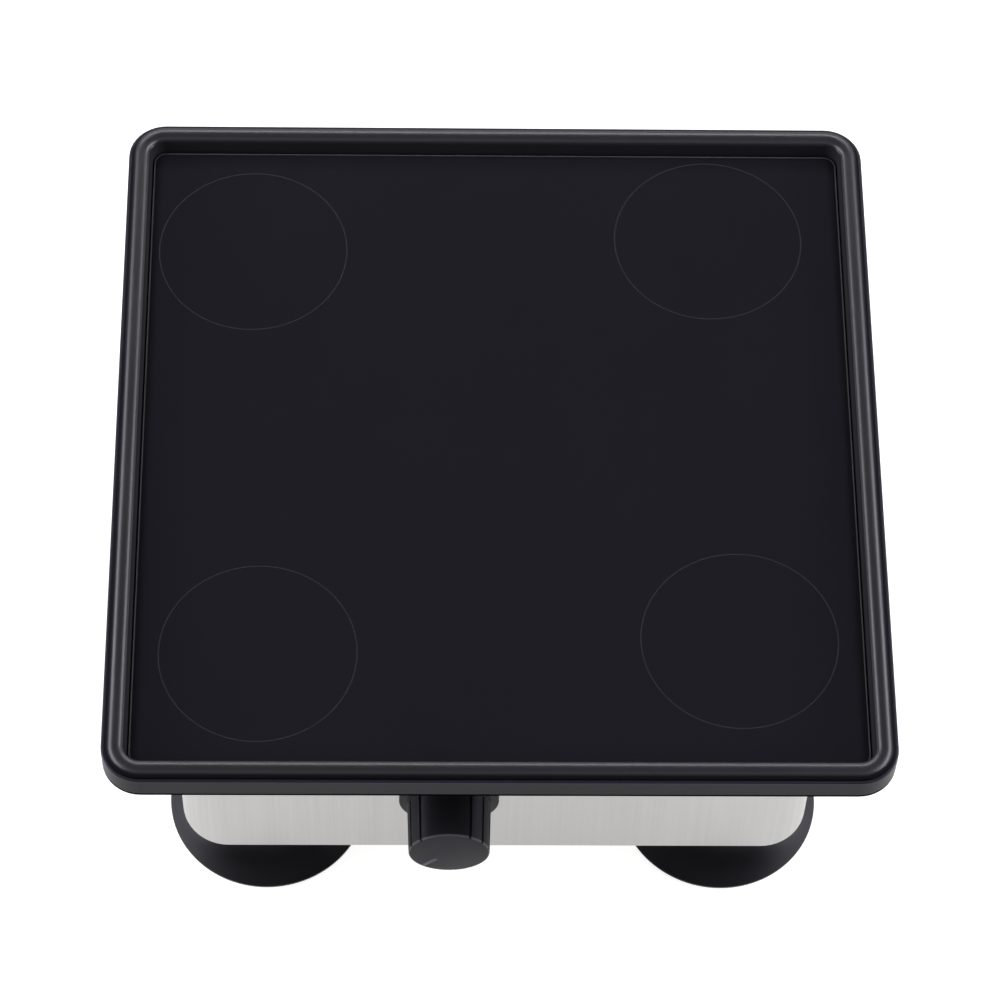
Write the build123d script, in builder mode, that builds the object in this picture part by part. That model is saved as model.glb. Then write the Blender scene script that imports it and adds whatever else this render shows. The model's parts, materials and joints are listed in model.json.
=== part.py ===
from build123d import *
import math
import os

os.makedirs("parts", exist_ok=True)

# A square vibrating table for dental plaster. The floor is z = 0, the knob faces -Y, sizes are millimetres.

# Casing
casing_width = 200.0
casing_depth = 200.0
casing_height = 66.0
casing_corner = 15.0
casing_sheet = 1.6
casing_bend = 3.0

# Table: a black tray with a rubber mat laid in it
table_width = 240.0
table_depth = 240.0
table_corner = 12.0
table_gap = 9.9
table_travel = 1.0
tray_height = 9.6
tray_floor = 3.0
tray_rim = 5.5
tray_chamfer = 0.9
tray_edge_round = 0.5
mat_thickness = 2.3
mat_fit = 0.2
mat_edge_inset = 7.6
bead_half_width = 3.05
bead_height = 1.85
bead_inset = 4.05
groove_width = 0.5
groove_depth = 0.4
ring_radius = 30.3
ring_width = 0.5
ring_depth = 0.2
ring_pitch = 147.6
ring_turn = 1.9
ring_shift_x = -2.5
ring_shift_y = 2.4

# Suction feet
foot_height = 21.0
foot_pitch_x = 146.8
foot_pitch_y = 146.8
cup_radius = 31.95
cup_lip = 2.4
cup_lip_height = 1.0
cup_hollow = 6.0
cup_shoulder_radius = 21.0
cup_shoulder_height = 8.0
cup_neck_radius = 16.0
cup_neck_height = 15.0
stud_radius = 3.0
stud_plate_radius = 9.0
stud_plate = 2.0
stud_plate_height = 12.5
stud_reach = 9.0
foot_washer_radius = 6.5
foot_washer = 1.2
foot_nut_flats = 10.0
foot_nut = 5.0

# Base plate and the tabs that carry it
base_sheet = 2.0
base_fit = 0.3
tab_offset = 32.0
tab_width = 16.0
tab_reach = 12.0
tab_rise = 12.0
tab_sheet = 2.5
tab_screw_inset = 6.5

# Screws: shank and head sizes for each thread in use
hole_clearance = 0.25
thread_clearance = 0.05
m3_radius = 1.5
m3_head_radius = 2.8
m3_head = 1.8
m4_radius = 2.0
m4_head_radius = 3.6
m4_head = 2.2
m4_nut_flats = 7.0
m4_nut = 3.2
m5_radius = 2.5
m5_sink_radius = 4.9
m5_nut_flats = 8.0
m5_nut = 4.0
m4_sink_radius = 4.0
sink_clearance = 0.1
drive_radius = 1.4
drive_depth = 1.2
screw_tip = 2.0
sink_angle = 90.0

# Rubber buffers between casing and tray
buffer_pitch_x = 150.0
buffer_pitch_y = 150.0
buffer_radius = 9.5
buffer_waist = 1.2
insert_radius = 4.5
insert_length = 4.0
insert_clearance = 0.3
buffer_stud_radius = 2.5
buffer_disc_radius = 6.0
buffer_disc = 1.6
buffer_washer_radius = 5.0
buffer_washer = 1.0
table_screw_bite = 3.5

# Electromagnet with an E core and an I armature
core_width = 66.0
core_height = 44.0
core_stack = 26.0
core_yoke = 11.0
core_leg = 22.0
core_outer_leg = 11.0
air_clearance = 1.0
core_bolt_inset = 5.5
armature_height = 11.0
carrier_margin_x = 5.0
carrier_margin_y = 9.0
carrier_thickness = 3.5
carrier_screw_inset_x = 7.0
carrier_screw_inset_y = 5.0
armature_screw_inset = 11.0
armature_screw_length = 8.0
port_clearance = 6.0
port_corner = 4.0
bobbin_fit = 0.3
bobbin_wall = 1.0
bobbin_flange = 1.2
bobbin_overhang = 10.0
winding_inset = 1.5
winding_corner = 3.0
bracket_sheet = 2.5
bracket_foot = 18.0
bracket_screw_inset = 10.0
bracket_screw_offset = 11.0

# Knob and potentiometer
knob_x = -15.0
knob_rise = 35.9
knob_gap = 0.6
skirt_radius = 15.6
skirt_thickness = 1.4
knob_root_radius = 13.1
knob_face_radius = 12.6
knob_reach = 19.8
knob_chamfer = 0.45
knob_cap = 2.0
flute_radius = 0.45
flute_sink = 0.1
flute_start = 2.2
flute_step = 23.7
flute_count = 3
flute_groups = 3
flute_group_clock = 53.2
pointer_clock = -137.0
pointer_inner = 5.65
pointer_outer = 12.0
pointer_width = 1.6
pointer_depth = 0.4
shaft_radius = 3.0
shaft_running = 0.05
shaft_seat = 6.0
shaft_end_gap = 0.3
shaft_flat = 1.0
shaft_flat_length = 9.0
pot_radius = 12.0
pot_depth = 13.0
pot_lug_width = 2.2
pot_lug_length = 5.0
pot_lug_sheet = 0.8
pot_lug_step = 5.0
pot_lug_setback = 6.0
pot_lug_root = 1.0
bush_radius = 4.5
bush_reach = 4.6
bush_nut_flats = 12.0
bush_nut = 2.4
nut_pocket_radius = 8.4
nut_pocket_depth = 5.6
grip_screw_radius = 1.5
grip_screw_length = 6.0
grip_drive_radius = 0.75
grip_screw_forward = 12.0
grip_screw_clock = 150.0

# Rear panel: lead gland and fuse holder
gland_x = -60.0
gland_rise = 24.0
gland_bore_radius = 3.6
gland_body_radius = 6.0
gland_flats = 17.0
gland_flange = 4.0
gland_dome_radius = 8.0
gland_dome = 9.0
gland_dome_nose = 6.0
gland_inside = 9.0
gland_nut = 3.5
fuse_x = -28.0
fuse_rise = 24.0
fuse_barrel_radius = 6.2
fuse_barrel_length = 30.0
fuse_flange_radius = 9.0
fuse_flange = 2.0
fuse_bore_radius = 3.2
fuse_nut_flats = 17.0
fuse_nut = 3.0
fuse_cap_radius = 7.0
fuse_cap = 6.5
fuse_cap_spigot = 5.0
fuse_cap_slot = 1.4
fuse_cap_slot_depth = 1.0
fuse_radius = 2.6
fuse_length = 20.0
fuse_cap_fit = 0.1
fuse_tab_width = 4.8
fuse_tab_sheet = 0.8
fuse_tab_length = 8.0
fuse_tab_offset = 17.0

# Control board
board_wall_gap = 13.4
board_y = 0.0
board_width = 40.0
board_depth = 76.0
board_sheet = 1.6
board_hole_inset = 4.0
board_edge_round = 2.0
standoff_height = 8.0
standoff_flats = 5.5
board_bite = 3.0
sink_x = 10.0
sink_y = 14.0
sink_width = 12.0
sink_depth = 30.0
sink_height = 22.0
sink_web = 2.0
sink_fins = 5
sink_fin = 1.2
triac_width = 4.4
triac_depth = 10.0
triac_height = 15.6
capacitor_x = -12.0
capacitor_y = 16.0
capacitor_width = 8.0
capacitor_depth = 18.0
capacitor_height = 14.0
choke_x = -8.0
choke_y = -8.0
choke_radius = 7.5
choke_wire_radius = 4.0
strip_inset = 8.0
strip_width = 31.6
strip_depth = 9.0
strip_height = 10.0
strip_ways = 7
strip_way_step = 4.4
strip_hole_radius = 1.3
strip_hole_rise = 4.0
strip_hole_depth = 5.0
strip_screw_radius = 1.6
strip_screw_depth = 1.0

# Mains terminal block and earth stud on the base plate
block_wall_gap = 21.4
block_y = 38.0
block_width = 34.0
block_depth = 16.0
block_height = 14.0
block_ways = 3
block_way_step = 8.0
block_hole_radius = 1.7
block_hole_rise = 5.0
block_screw_radius = 2.1
block_screw_depth = 2.0
block_fix_spacing = 28.0
block_fix_depth = 6.0
earth_wall_gap = 14.4
earth_y = 44.0
earth_height = 12.0
earth_lug_radius = 3.5
earth_lug = 4.0

# Insulated leads inside the casing, and the heights and lines that they run along
lead_radius = 1.0
lead_bend = 2.5
lead_entry = 4.0
pot_lead_offset = 6.0
pot_lead_step = 3.0
coil_lead_x = 3.0
coil_lead_step = 10.0
coil_lead_rise = 3.0
coil_lead_stack = 4.0
front_lead_gap = 13.5
front_lead_step = 4.0
live_lead_turn = 16.0
live_lead_gap = 3.5
neutral_lead_drop = 2.0
neutral_lead_turn = 16.0
fuse_lead_turn = 8.0
fuse_lead_side = 9.0
earth_lead_turn = 10.0

# Heights that follow from the sizes above
casing_bottom = foot_height
casing_top = casing_bottom + casing_height
casing_ceiling = casing_top - casing_sheet
base_top = casing_bottom + base_sheet
table_bottom = casing_top + table_gap
rim_top = table_bottom + tray_height
floor_top = table_bottom + tray_floor
mat_top = floor_top + mat_thickness
carrier_bottom = table_bottom - carrier_thickness
armature_bottom = carrier_bottom - armature_height
pole_top = armature_bottom - table_travel - air_clearance
core_bottom = pole_top - core_height
yoke_top = core_bottom + core_yoke
core_bolt_height = core_bottom + core_yoke / 2

# Places that repeat
foot_places = [(x * foot_pitch_x / 2, y * foot_pitch_y / 2) for y in (-1, 1) for x in (-1, 1)]
foot_names = ["front_left", "front_right", "back_left", "back_right"]
buffer_places = [(x * buffer_pitch_x / 2, y * buffer_pitch_y / 2) for y in (-1, 1) for x in (-1, 1)]
carrier_width = core_width + 2 * carrier_margin_x
carrier_depth = core_stack + 2 * carrier_margin_y
carrier_screw_x = carrier_width / 2 - carrier_screw_inset_x
carrier_screw_y = carrier_depth / 2 - carrier_screw_inset_y
carrier_places = [(x * carrier_screw_x, y * carrier_screw_y) for y in (-1, 1) for x in (-1, 1)]
bracket_screw_y = core_stack / 2 + bracket_sheet + bracket_screw_offset
bracket_screw_x = core_width / 2 - bracket_screw_inset
bracket_places = [(x * bracket_screw_x, y * bracket_screw_y) for y in (-1, 1) for x in (-1, 1)]
inner_x = casing_width / 2 - casing_sheet
inner_y = casing_depth / 2 - casing_sheet
board_x = inner_x - board_wall_gap - board_width / 2
block_x = -(inner_x - block_wall_gap - block_width / 2)
earth_x = -(inner_x - earth_wall_gap)
board_places = [
    (
        board_x + x * (board_width / 2 - board_hole_inset),
        board_y + y * (board_depth / 2 - board_hole_inset),
    )
    for y in (-1, 1)
    for x in (-1, 1)
]
block_fix_places = [(block_x + side * block_fix_spacing / 2, block_y) for side in (-1, 1)]
tab_sides = (
    [(side * tab_offset, -inner_y, 0) for side in (-1, 1)]
    + [(inner_x, side * tab_offset, 90) for side in (-1, 1)]
    + [(side * tab_offset, inner_y, 180) for side in (-1, 1)]
    + [(-inner_x, side * tab_offset, 270) for side in (-1, 1)]
)
tab_locations = [Location((x, y, base_top), (0, 0, turn)) for x, y, turn in tab_sides]
tab_screw_places = [
    (
        x - tab_screw_inset * math.sin(math.radians(turn)),
        y + tab_screw_inset * math.cos(math.radians(turn)),
    )
    for x, y, turn in tab_sides
]

# Planes on the front and rear panels, with local y up and z outwards
knob_plane = Plane(
    origin=(knob_x, -casing_depth / 2, casing_bottom + knob_rise), x_dir=(1, 0, 0), z_dir=(0, -1, 0)
)
gland_plane = Plane(
    origin=(gland_x, casing_depth / 2, casing_bottom + gland_rise), x_dir=(-1, 0, 0), z_dir=(0, 1, 0)
)
fuse_plane = Plane(
    origin=(fuse_x, casing_depth / 2, casing_bottom + fuse_rise), x_dir=(-1, 0, 0), z_dir=(0, 1, 0)
)

below = (Align.CENTER, Align.CENTER, Align.MAX)
above = (Align.CENTER, Align.CENTER, Align.MIN)


def at_height(places, height):
    return Locations(*[(x, y, height) for x, y in places])


def clock_point(radius, clock):
    """A point on a circle seen from the front, its angle counted clockwise from the top."""
    angle = math.radians(clock)
    return radius * math.sin(angle), radius * math.cos(angle)


# Table tray
with BuildPart() as table_tray:
    with BuildSketch(Plane.XY.offset(table_bottom)):
        RectangleRounded(table_width, table_depth, table_corner)
    extrude(amount=tray_height)
    chamfer(table_tray.faces().sort_by(Axis.Z)[0].outer_wire().edges(), tray_chamfer)
    fillet(table_tray.faces().sort_by(Axis.Z)[-1].outer_wire().edges(), tray_edge_round)
    with BuildSketch(Plane.XY.offset(floor_top)):
        RectangleRounded(table_width - 2 * tray_rim, table_depth - 2 * tray_rim, table_corner - tray_rim)
    extrude(amount=tray_height, mode=Mode.SUBTRACT)
    with at_height(buffer_places, floor_top):
        CounterSinkHole(m5_radius + hole_clearance, m5_sink_radius, tray_floor, sink_angle)
    with at_height(carrier_places, floor_top):
        CounterSinkHole(m4_radius + hole_clearance, m4_sink_radius, tray_floor, sink_angle)
table_tray.part.label = "table_tray"
export_step(table_tray.part, "parts/table_tray.step")

# Rubber mat: a sheet with a sloped edge that rises into a rounded bead on the tray's rim
mat_body_inset = tray_rim + mat_fit
bead_foot_inset = bead_inset + bead_half_width
bead_loop = (
    Plane.XY.offset(rim_top)
    * RectangleRounded(table_width - 2 * bead_inset, table_depth - 2 * bead_inset, table_corner - bead_inset)
).face().outer_wire()
bead_plane = Plane(origin=bead_loop @ 0, x_dir=(0, 0, 1), z_dir=bead_loop % 0)
ring_plane = Plane(
    origin=(ring_shift_x, ring_shift_y, mat_top),
    x_dir=(math.cos(math.radians(ring_turn)), math.sin(math.radians(ring_turn)), 0),
    z_dir=(0, 0, 1),
)
with BuildPart() as rubber_mat:
    with BuildSketch(Plane.XY.offset(floor_top)):
        RectangleRounded(
            table_width - 2 * mat_body_inset, table_depth - 2 * mat_body_inset, table_corner - mat_body_inset
        )
    extrude(amount=rim_top - floor_top)
    with BuildSketch(Plane.XY.offset(mat_top)):
        RectangleRounded(
            table_width - 2 * mat_edge_inset, table_depth - 2 * mat_edge_inset, table_corner - mat_edge_inset
        )
    with BuildSketch(Plane.XY.offset(rim_top)):
        RectangleRounded(
            table_width - 2 * bead_foot_inset,
            table_depth - 2 * bead_foot_inset,
            table_corner - bead_foot_inset,
        )
    loft(mode=Mode.SUBTRACT)
    with BuildSketch(bead_plane):
        Ellipse(bead_height, bead_half_width)
        Rectangle(
            2 * bead_height, 2 * bead_half_width, align=(Align.MAX, Align.CENTER), mode=Mode.SUBTRACT
        )
    sweep(path=bead_loop)
    with BuildSketch(Plane.XY.offset(mat_top)):
        RectangleRounded(
            table_width - 2 * mat_edge_inset, table_depth - 2 * mat_edge_inset, table_corner - mat_edge_inset
        )
        pad_inset = mat_edge_inset + groove_width
        RectangleRounded(
            table_width - 2 * pad_inset,
            table_depth - 2 * pad_inset,
            table_corner - pad_inset,
            mode=Mode.SUBTRACT,
        )
    extrude(amount=-groove_depth, mode=Mode.SUBTRACT)
    with BuildSketch(ring_plane):
        with GridLocations(ring_pitch, ring_pitch, 2, 2):
            Circle(ring_radius + ring_width / 2)
            Circle(ring_radius - ring_width / 2, mode=Mode.SUBTRACT)
    extrude(amount=-ring_depth, mode=Mode.SUBTRACT)
rubber_mat.part.label = "rubber_mat"
export_step(rubber_mat.part, "parts/rubber_mat.step")

# Countersunk screws from the tray into the buffers, and from the tray into the armature carrier
m5_head_radius = m5_sink_radius - sink_clearance
with BuildPart() as table_screws:
    with at_height(buffer_places, floor_top):
        Cone(m5_radius, m5_head_radius, m5_head_radius - m5_radius, align=below)
        Cylinder(m5_radius, tray_floor + table_screw_bite, align=below)
    with BuildSketch(Plane.XY.offset(floor_top)):
        with Locations(*buffer_places):
            RegularPolygon(drive_radius, 6)
    extrude(amount=-drive_depth, mode=Mode.SUBTRACT)
table_screws.part.label = "table_screws"
export_step(table_screws.part, "parts/table_screws.step")

m4_sunk_radius = m4_sink_radius - sink_clearance
with BuildPart() as carrier_screws:
    with at_height(carrier_places, floor_top):
        Cone(m4_radius, m4_sunk_radius, m4_sunk_radius - m4_radius, align=below)
        Cylinder(m4_radius, tray_floor + carrier_thickness, align=below)
    with BuildSketch(Plane.XY.offset(floor_top)):
        with Locations(*carrier_places):
            RegularPolygon(drive_radius, 6)
    extrude(amount=-drive_depth, mode=Mode.SUBTRACT)
carrier_screws.part.label = "carrier_screws"
export_step(carrier_screws.part, "parts/carrier_screws.step")

# Carrier plate under the tray, and the armature that the magnet pulls
armature_screw_places = [(side * (core_width / 2 - armature_screw_inset), 0) for side in (-1, 1)]
with BuildPart() as armature_carrier:
    with BuildSketch(Plane.XY.offset(carrier_bottom)):
        RectangleRounded(carrier_width, carrier_depth, port_corner)
        with Locations(*carrier_places):
            Circle(m4_radius + thread_clearance, mode=Mode.SUBTRACT)
    extrude(amount=carrier_thickness)
    with at_height(armature_screw_places, table_bottom):
        CounterSinkHole(m4_radius + hole_clearance, m4_sink_radius, carrier_thickness, sink_angle)
armature_carrier.part.label = "armature_carrier"
export_step(armature_carrier.part, "parts/armature_carrier.step")

with BuildPart() as armature:
    with BuildSketch(Plane.XY.offset(armature_bottom)):
        Rectangle(core_width, core_stack)
    extrude(amount=armature_height)
    with BuildSketch(Plane.XY.offset(carrier_bottom)):
        with Locations(*armature_screw_places):
            Circle(m4_radius + thread_clearance)
    extrude(amount=-armature_screw_length, mode=Mode.SUBTRACT)
armature.part.label = "armature"
export_step(armature.part, "parts/armature.step")

with BuildPart() as armature_screws:
    with at_height(armature_screw_places, table_bottom):
        Cone(m4_radius, m4_sunk_radius, m4_sunk_radius - m4_radius, align=below)
        Cylinder(m4_radius, armature_screw_length, align=below)
    with BuildSketch(Plane.XY.offset(table_bottom)):
        with Locations(*armature_screw_places):
            RegularPolygon(drive_radius, 6)
    extrude(amount=-drive_depth, mode=Mode.SUBTRACT)
armature_screws.part.label = "armature_screws"
export_step(armature_screws.part, "parts/armature_screws.step")

# Rubber buffers: a waisted rubber body with a threaded insert above and a stud with a disc below
insert_bottom = table_bottom - insert_length
with BuildPart() as buffer_inserts:
    with at_height(buffer_places, insert_bottom):
        Cylinder(insert_radius, insert_length, align=above)
        Cylinder(m5_radius + thread_clearance, insert_length, align=above, mode=Mode.SUBTRACT)
buffer_inserts.part.label = "buffer_inserts"
export_step(buffer_inserts.part, "parts/buffer_inserts.step")

with BuildPart() as rubber_buffers:
    with BuildSketch(Plane.XZ):
        with BuildLine():
            Line((0, casing_top), (buffer_radius, casing_top))
            ThreePointArc(
                (buffer_radius, casing_top),
                (buffer_radius - buffer_waist, (casing_top + table_bottom) / 2),
                (buffer_radius, table_bottom),
            )
            Line((buffer_radius, table_bottom), (0, table_bottom))
            Line((0, table_bottom), (0, casing_top))
        make_face()
    revolve(axis=Axis.Z)
    with Locations((0, 0, table_bottom)):
        Cylinder(
            insert_radius + insert_clearance,
            insert_length + insert_clearance,
            align=below,
            mode=Mode.SUBTRACT,
        )
    with Locations((0, 0, casing_top)):
        Cylinder(buffer_disc_radius, buffer_disc, align=above, mode=Mode.SUBTRACT)
buffer_group = Compound([Pos(x, y, 0) * rubber_buffers.part.solid() for x, y in buffer_places])
buffer_group.label = "rubber_buffers"
export_step(buffer_group, "parts/rubber_buffers.step")

buffer_stud_length = casing_sheet + buffer_washer + m5_nut + screw_tip
with BuildPart() as buffer_studs:
    with at_height(buffer_places, casing_top):
        Cylinder(buffer_disc_radius, buffer_disc, align=above)
        Cylinder(buffer_stud_radius, buffer_stud_length, align=below)
buffer_studs.part.label = "buffer_studs"
export_step(buffer_studs.part, "parts/buffer_studs.step")

with BuildPart() as buffer_nuts:
    with BuildSketch(Plane.XY.offset(casing_ceiling)):
        with Locations(*buffer_places):
            Circle(buffer_washer_radius)
            Circle(buffer_stud_radius + thread_clearance, mode=Mode.SUBTRACT)
    extrude(amount=-buffer_washer)
    with BuildSketch(Plane.XY.offset(casing_ceiling - buffer_washer)):
        with Locations(*buffer_places):
            RegularPolygon(m5_nut_flats / 2, 6, major_radius=False)
            Circle(buffer_stud_radius + thread_clearance, mode=Mode.SUBTRACT)
    extrude(amount=-m5_nut)
buffer_nuts.part.label = "buffer_nuts"
export_step(buffer_nuts.part, "parts/buffer_nuts.step")

# Casing: one pressed shell with a port for the armature in its top
with BuildPart() as casing:
    with BuildSketch(Plane.XY.offset(casing_bottom)):
        RectangleRounded(casing_width, casing_depth, casing_corner)
    extrude(amount=casing_height)
    fillet(casing.faces().sort_by(Axis.Z)[-1].edges(), casing_bend)
    with BuildSketch(Plane.XY.offset(casing_bottom)):
        RectangleRounded(2 * inner_x, 2 * inner_y, casing_corner - casing_sheet)
    extrude(amount=casing_height - casing_sheet, mode=Mode.SUBTRACT)
    ceiling = casing.faces().filter_by(Plane.XY).group_by(Axis.Z)[-2]
    fillet(ceiling.edges(), casing_bend - casing_sheet)
    with BuildSketch(Plane.XY.offset(casing_top)):
        RectangleRounded(core_width + 2 * port_clearance, core_stack + 2 * port_clearance, port_corner)
        with Locations(*buffer_places):
            Circle(buffer_stud_radius + hole_clearance)
    extrude(amount=-casing_sheet, mode=Mode.SUBTRACT)
    for panel_plane, hole_radius in (
        (knob_plane, bush_radius),
        (gland_plane, gland_body_radius),
        (fuse_plane, fuse_barrel_radius),
    ):
        with BuildSketch(panel_plane):
            Circle(hole_radius + hole_clearance)
        extrude(amount=-casing_sheet, mode=Mode.SUBTRACT)
casing.part.label = "casing"
export_step(casing.part, "parts/casing.step")

# Tabs welded inside the casing, which take the base screws
with BuildPart() as casing_tabs:
    with Locations(*tab_locations):
        Box(tab_width, tab_reach, tab_sheet, align=(Align.CENTER, Align.MIN, Align.MIN))
        Box(tab_width, tab_sheet, tab_rise, align=(Align.CENTER, Align.MIN, Align.MIN))
    with at_height(tab_screw_places, base_top):
        Cylinder(m4_radius + thread_clearance, tab_sheet, align=above, mode=Mode.SUBTRACT)
casing_tabs.part.label = "casing_tabs"
export_step(casing_tabs.part, "parts/casing_tabs.step")

with BuildPart() as base_screws:
    with at_height(tab_screw_places, casing_bottom):
        Cylinder(m4_head_radius, m4_head, align=below)
        Cylinder(m4_radius, base_sheet + tab_sheet + screw_tip, align=above)
    with BuildSketch(Plane.XY.offset(casing_bottom - m4_head)):
        with Locations(*tab_screw_places):
            RegularPolygon(drive_radius, 6)
    extrude(amount=drive_depth, mode=Mode.SUBTRACT)
base_screws.part.label = "base_screws"
export_step(base_screws.part, "parts/base_screws.step")

# Base plate
with BuildPart() as base_plate:
    with BuildSketch(Plane.XY.offset(casing_bottom)):
        RectangleRounded(
            2 * (inner_x - base_fit), 2 * (inner_y - base_fit), casing_corner - casing_sheet - base_fit
        )
        with Locations(*foot_places):
            Circle(stud_radius + hole_clearance, mode=Mode.SUBTRACT)
        with Locations(*tab_screw_places, *bracket_places, (earth_x, earth_y)):
            Circle(m4_radius + hole_clearance, mode=Mode.SUBTRACT)
        with Locations(*board_places, *block_fix_places):
            Circle(m3_radius + hole_clearance, mode=Mode.SUBTRACT)
    extrude(amount=base_sheet)
base_plate.part.label = "base_plate"
export_step(base_plate.part, "parts/base_plate.step")

# Suction feet: a flared rubber cup with a stud moulded in
with BuildPart() as suction_foot:
    with BuildSketch(Plane.XZ):
        with BuildLine():
            Line((cup_radius - cup_lip, 0), (cup_radius, 0))
            Line((cup_radius, 0), (cup_radius, cup_lip_height))
            ThreePointArc(
                (cup_radius, cup_lip_height),
                (cup_shoulder_radius, cup_shoulder_height),
                (cup_neck_radius, cup_neck_height),
            )
            Line((cup_neck_radius, cup_neck_height), (cup_neck_radius, foot_height))
            Line((cup_neck_radius, foot_height), (0, foot_height))
            Line((0, foot_height), (0, cup_hollow))
            TangentArc((0, cup_hollow), (cup_radius - cup_lip, 0), tangent=(1, 0))
        make_face()
    revolve(axis=Axis.Z)
    with Locations((0, 0, stud_plate_height)):
        Cylinder(stud_plate_radius, stud_plate, align=above, mode=Mode.SUBTRACT)
        Cylinder(stud_radius, foot_height - stud_plate_height, align=above, mode=Mode.SUBTRACT)
for name, (x, y) in zip(foot_names, foot_places):
    foot = Pos(x, y, 0) * suction_foot.part.solid()
    foot.label = f"suction_foot_{name}"
    export_step(foot, f"parts/suction_foot_{name}.step")

with BuildPart() as foot_studs:
    with at_height(foot_places, stud_plate_height):
        Cylinder(stud_plate_radius, stud_plate, align=above)
        Cylinder(stud_radius, base_top + stud_reach - stud_plate_height, align=above)
foot_studs.part.label = "foot_studs"
export_step(foot_studs.part, "parts/foot_studs.step")

with BuildPart() as foot_nuts:
    with BuildSketch(Plane.XY.offset(base_top)):
        with Locations(*foot_places):
            Circle(foot_washer_radius)
            Circle(stud_radius + thread_clearance, mode=Mode.SUBTRACT)
    extrude(amount=foot_washer)
    with BuildSketch(Plane.XY.offset(base_top + foot_washer)):
        with Locations(*foot_places):
            RegularPolygon(foot_nut_flats / 2, 6, major_radius=False)
            Circle(stud_radius + thread_clearance, mode=Mode.SUBTRACT)
    extrude(amount=foot_nut)
foot_nuts.part.label = "foot_nuts"
export_step(foot_nuts.part, "parts/foot_nuts.step")

# Electromagnet core: an E of stacked sheets, its legs pointing up
core_bolt_places = [(side * (core_width / 2 - core_bolt_inset), core_bolt_height) for side in (-1, 1)]
window_width = (core_width - core_leg) / 2 - core_outer_leg
window_x = core_leg / 2 + window_width / 2
with BuildPart() as magnet_core:
    with BuildSketch(Plane.XZ):
        with Locations((0, core_bottom)):
            Rectangle(core_width, core_height, align=(Align.CENTER, Align.MIN))
        with Locations((-window_x, yoke_top), (window_x, yoke_top)):
            Rectangle(
                window_width, core_height - core_yoke, align=(Align.CENTER, Align.MIN), mode=Mode.SUBTRACT
            )
        with Locations(*core_bolt_places):
            Circle(m4_radius + hole_clearance, mode=Mode.SUBTRACT)
    extrude(amount=core_stack / 2, both=True)
magnet_core.part.label = "magnet_core"
export_step(magnet_core.part, "parts/magnet_core.step")

# Coil on its bobbin, round the middle leg
bobbin_bottom = yoke_top + bobbin_fit
bobbin_top = pole_top - bobbin_fit
tube_width = core_leg + 2 * bobbin_fit + 2 * bobbin_wall
tube_depth = core_stack + 2 * bobbin_fit + 2 * bobbin_wall
flange_width = core_leg + 2 * (window_width - bobbin_fit)
flange_depth = core_stack + 2 * bobbin_overhang
with BuildPart() as coil_bobbin:
    with BuildSketch(Plane.XY.offset(bobbin_bottom)):
        Rectangle(tube_width, tube_depth)
    extrude(amount=bobbin_top - bobbin_bottom)
    with BuildSketch(Plane.XY.offset(bobbin_bottom), Plane.XY.offset(bobbin_top - bobbin_flange)):
        Rectangle(flange_width, flange_depth)
    extrude(amount=bobbin_flange)
    with BuildSketch(Plane.XY.offset(bobbin_bottom)):
        Rectangle(core_leg + 2 * bobbin_fit, core_stack + 2 * bobbin_fit)
    extrude(amount=bobbin_top - bobbin_bottom, mode=Mode.SUBTRACT)
coil_bobbin.part.label = "coil_bobbin"
export_step(coil_bobbin.part, "parts/coil_bobbin.step")

winding_bottom = bobbin_bottom + bobbin_flange
winding_top = bobbin_top - bobbin_flange
with BuildPart() as coil_winding:
    with BuildSketch(Plane.XY.offset(winding_bottom)):
        RectangleRounded(flange_width - 2 * winding_inset, flange_depth - 2 * winding_inset, winding_corner)
        Rectangle(tube_width, tube_depth, mode=Mode.SUBTRACT)
    extrude(amount=winding_top - winding_bottom)
coil_winding.part.label = "coil_winding"
export_step(coil_winding.part, "parts/coil_winding.step")

# Angle brackets that clamp the core and stand on the base plate
bracket_height = yoke_top - base_top - bobbin_fit
for name, side in (("front", -1), ("back", 1)):
    with BuildPart() as magnet_bracket:
        with Locations((0, side * (core_stack + bracket_sheet) / 2, base_top)):
            Box(core_width, bracket_sheet, bracket_height, align=above)
        with Locations((0, side * (core_stack + bracket_foot) / 2, base_top)):
            Box(core_width, bracket_foot, bracket_sheet, align=above)
        with BuildSketch(Plane.XZ):
            with Locations(*core_bolt_places):
                Circle(m4_radius + hole_clearance)
        extrude(amount=core_stack, both=True, mode=Mode.SUBTRACT)
        with BuildSketch(Plane.XY.offset(base_top)):
            with Locations(*[place for place in bracket_places if place[1] * side > 0]):
                Circle(m4_radius + thread_clearance)
        extrude(amount=bracket_sheet, mode=Mode.SUBTRACT)
    magnet_bracket.part.label = f"magnet_bracket_{name}"
    export_step(magnet_bracket.part, f"parts/magnet_bracket_{name}.step")

bolt_seat = core_stack / 2 + bracket_sheet
with BuildPart() as magnet_bolts:
    with BuildSketch(Plane.XZ.offset(bolt_seat)):
        with Locations(*core_bolt_places):
            Circle(m4_head_radius)
    extrude(amount=m4_head)
    with BuildSketch(Plane.XZ.offset(bolt_seat)):
        with Locations(*core_bolt_places):
            Circle(m4_radius)
    extrude(amount=-(2 * bolt_seat + m4_nut))
    with BuildSketch(Plane.XZ.offset(bolt_seat + m4_head)):
        with Locations(*core_bolt_places):
            RegularPolygon(drive_radius, 6)
    extrude(amount=-drive_depth, mode=Mode.SUBTRACT)
magnet_bolts.part.label = "magnet_bolts"
export_step(magnet_bolts.part, "parts/magnet_bolts.step")

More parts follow.
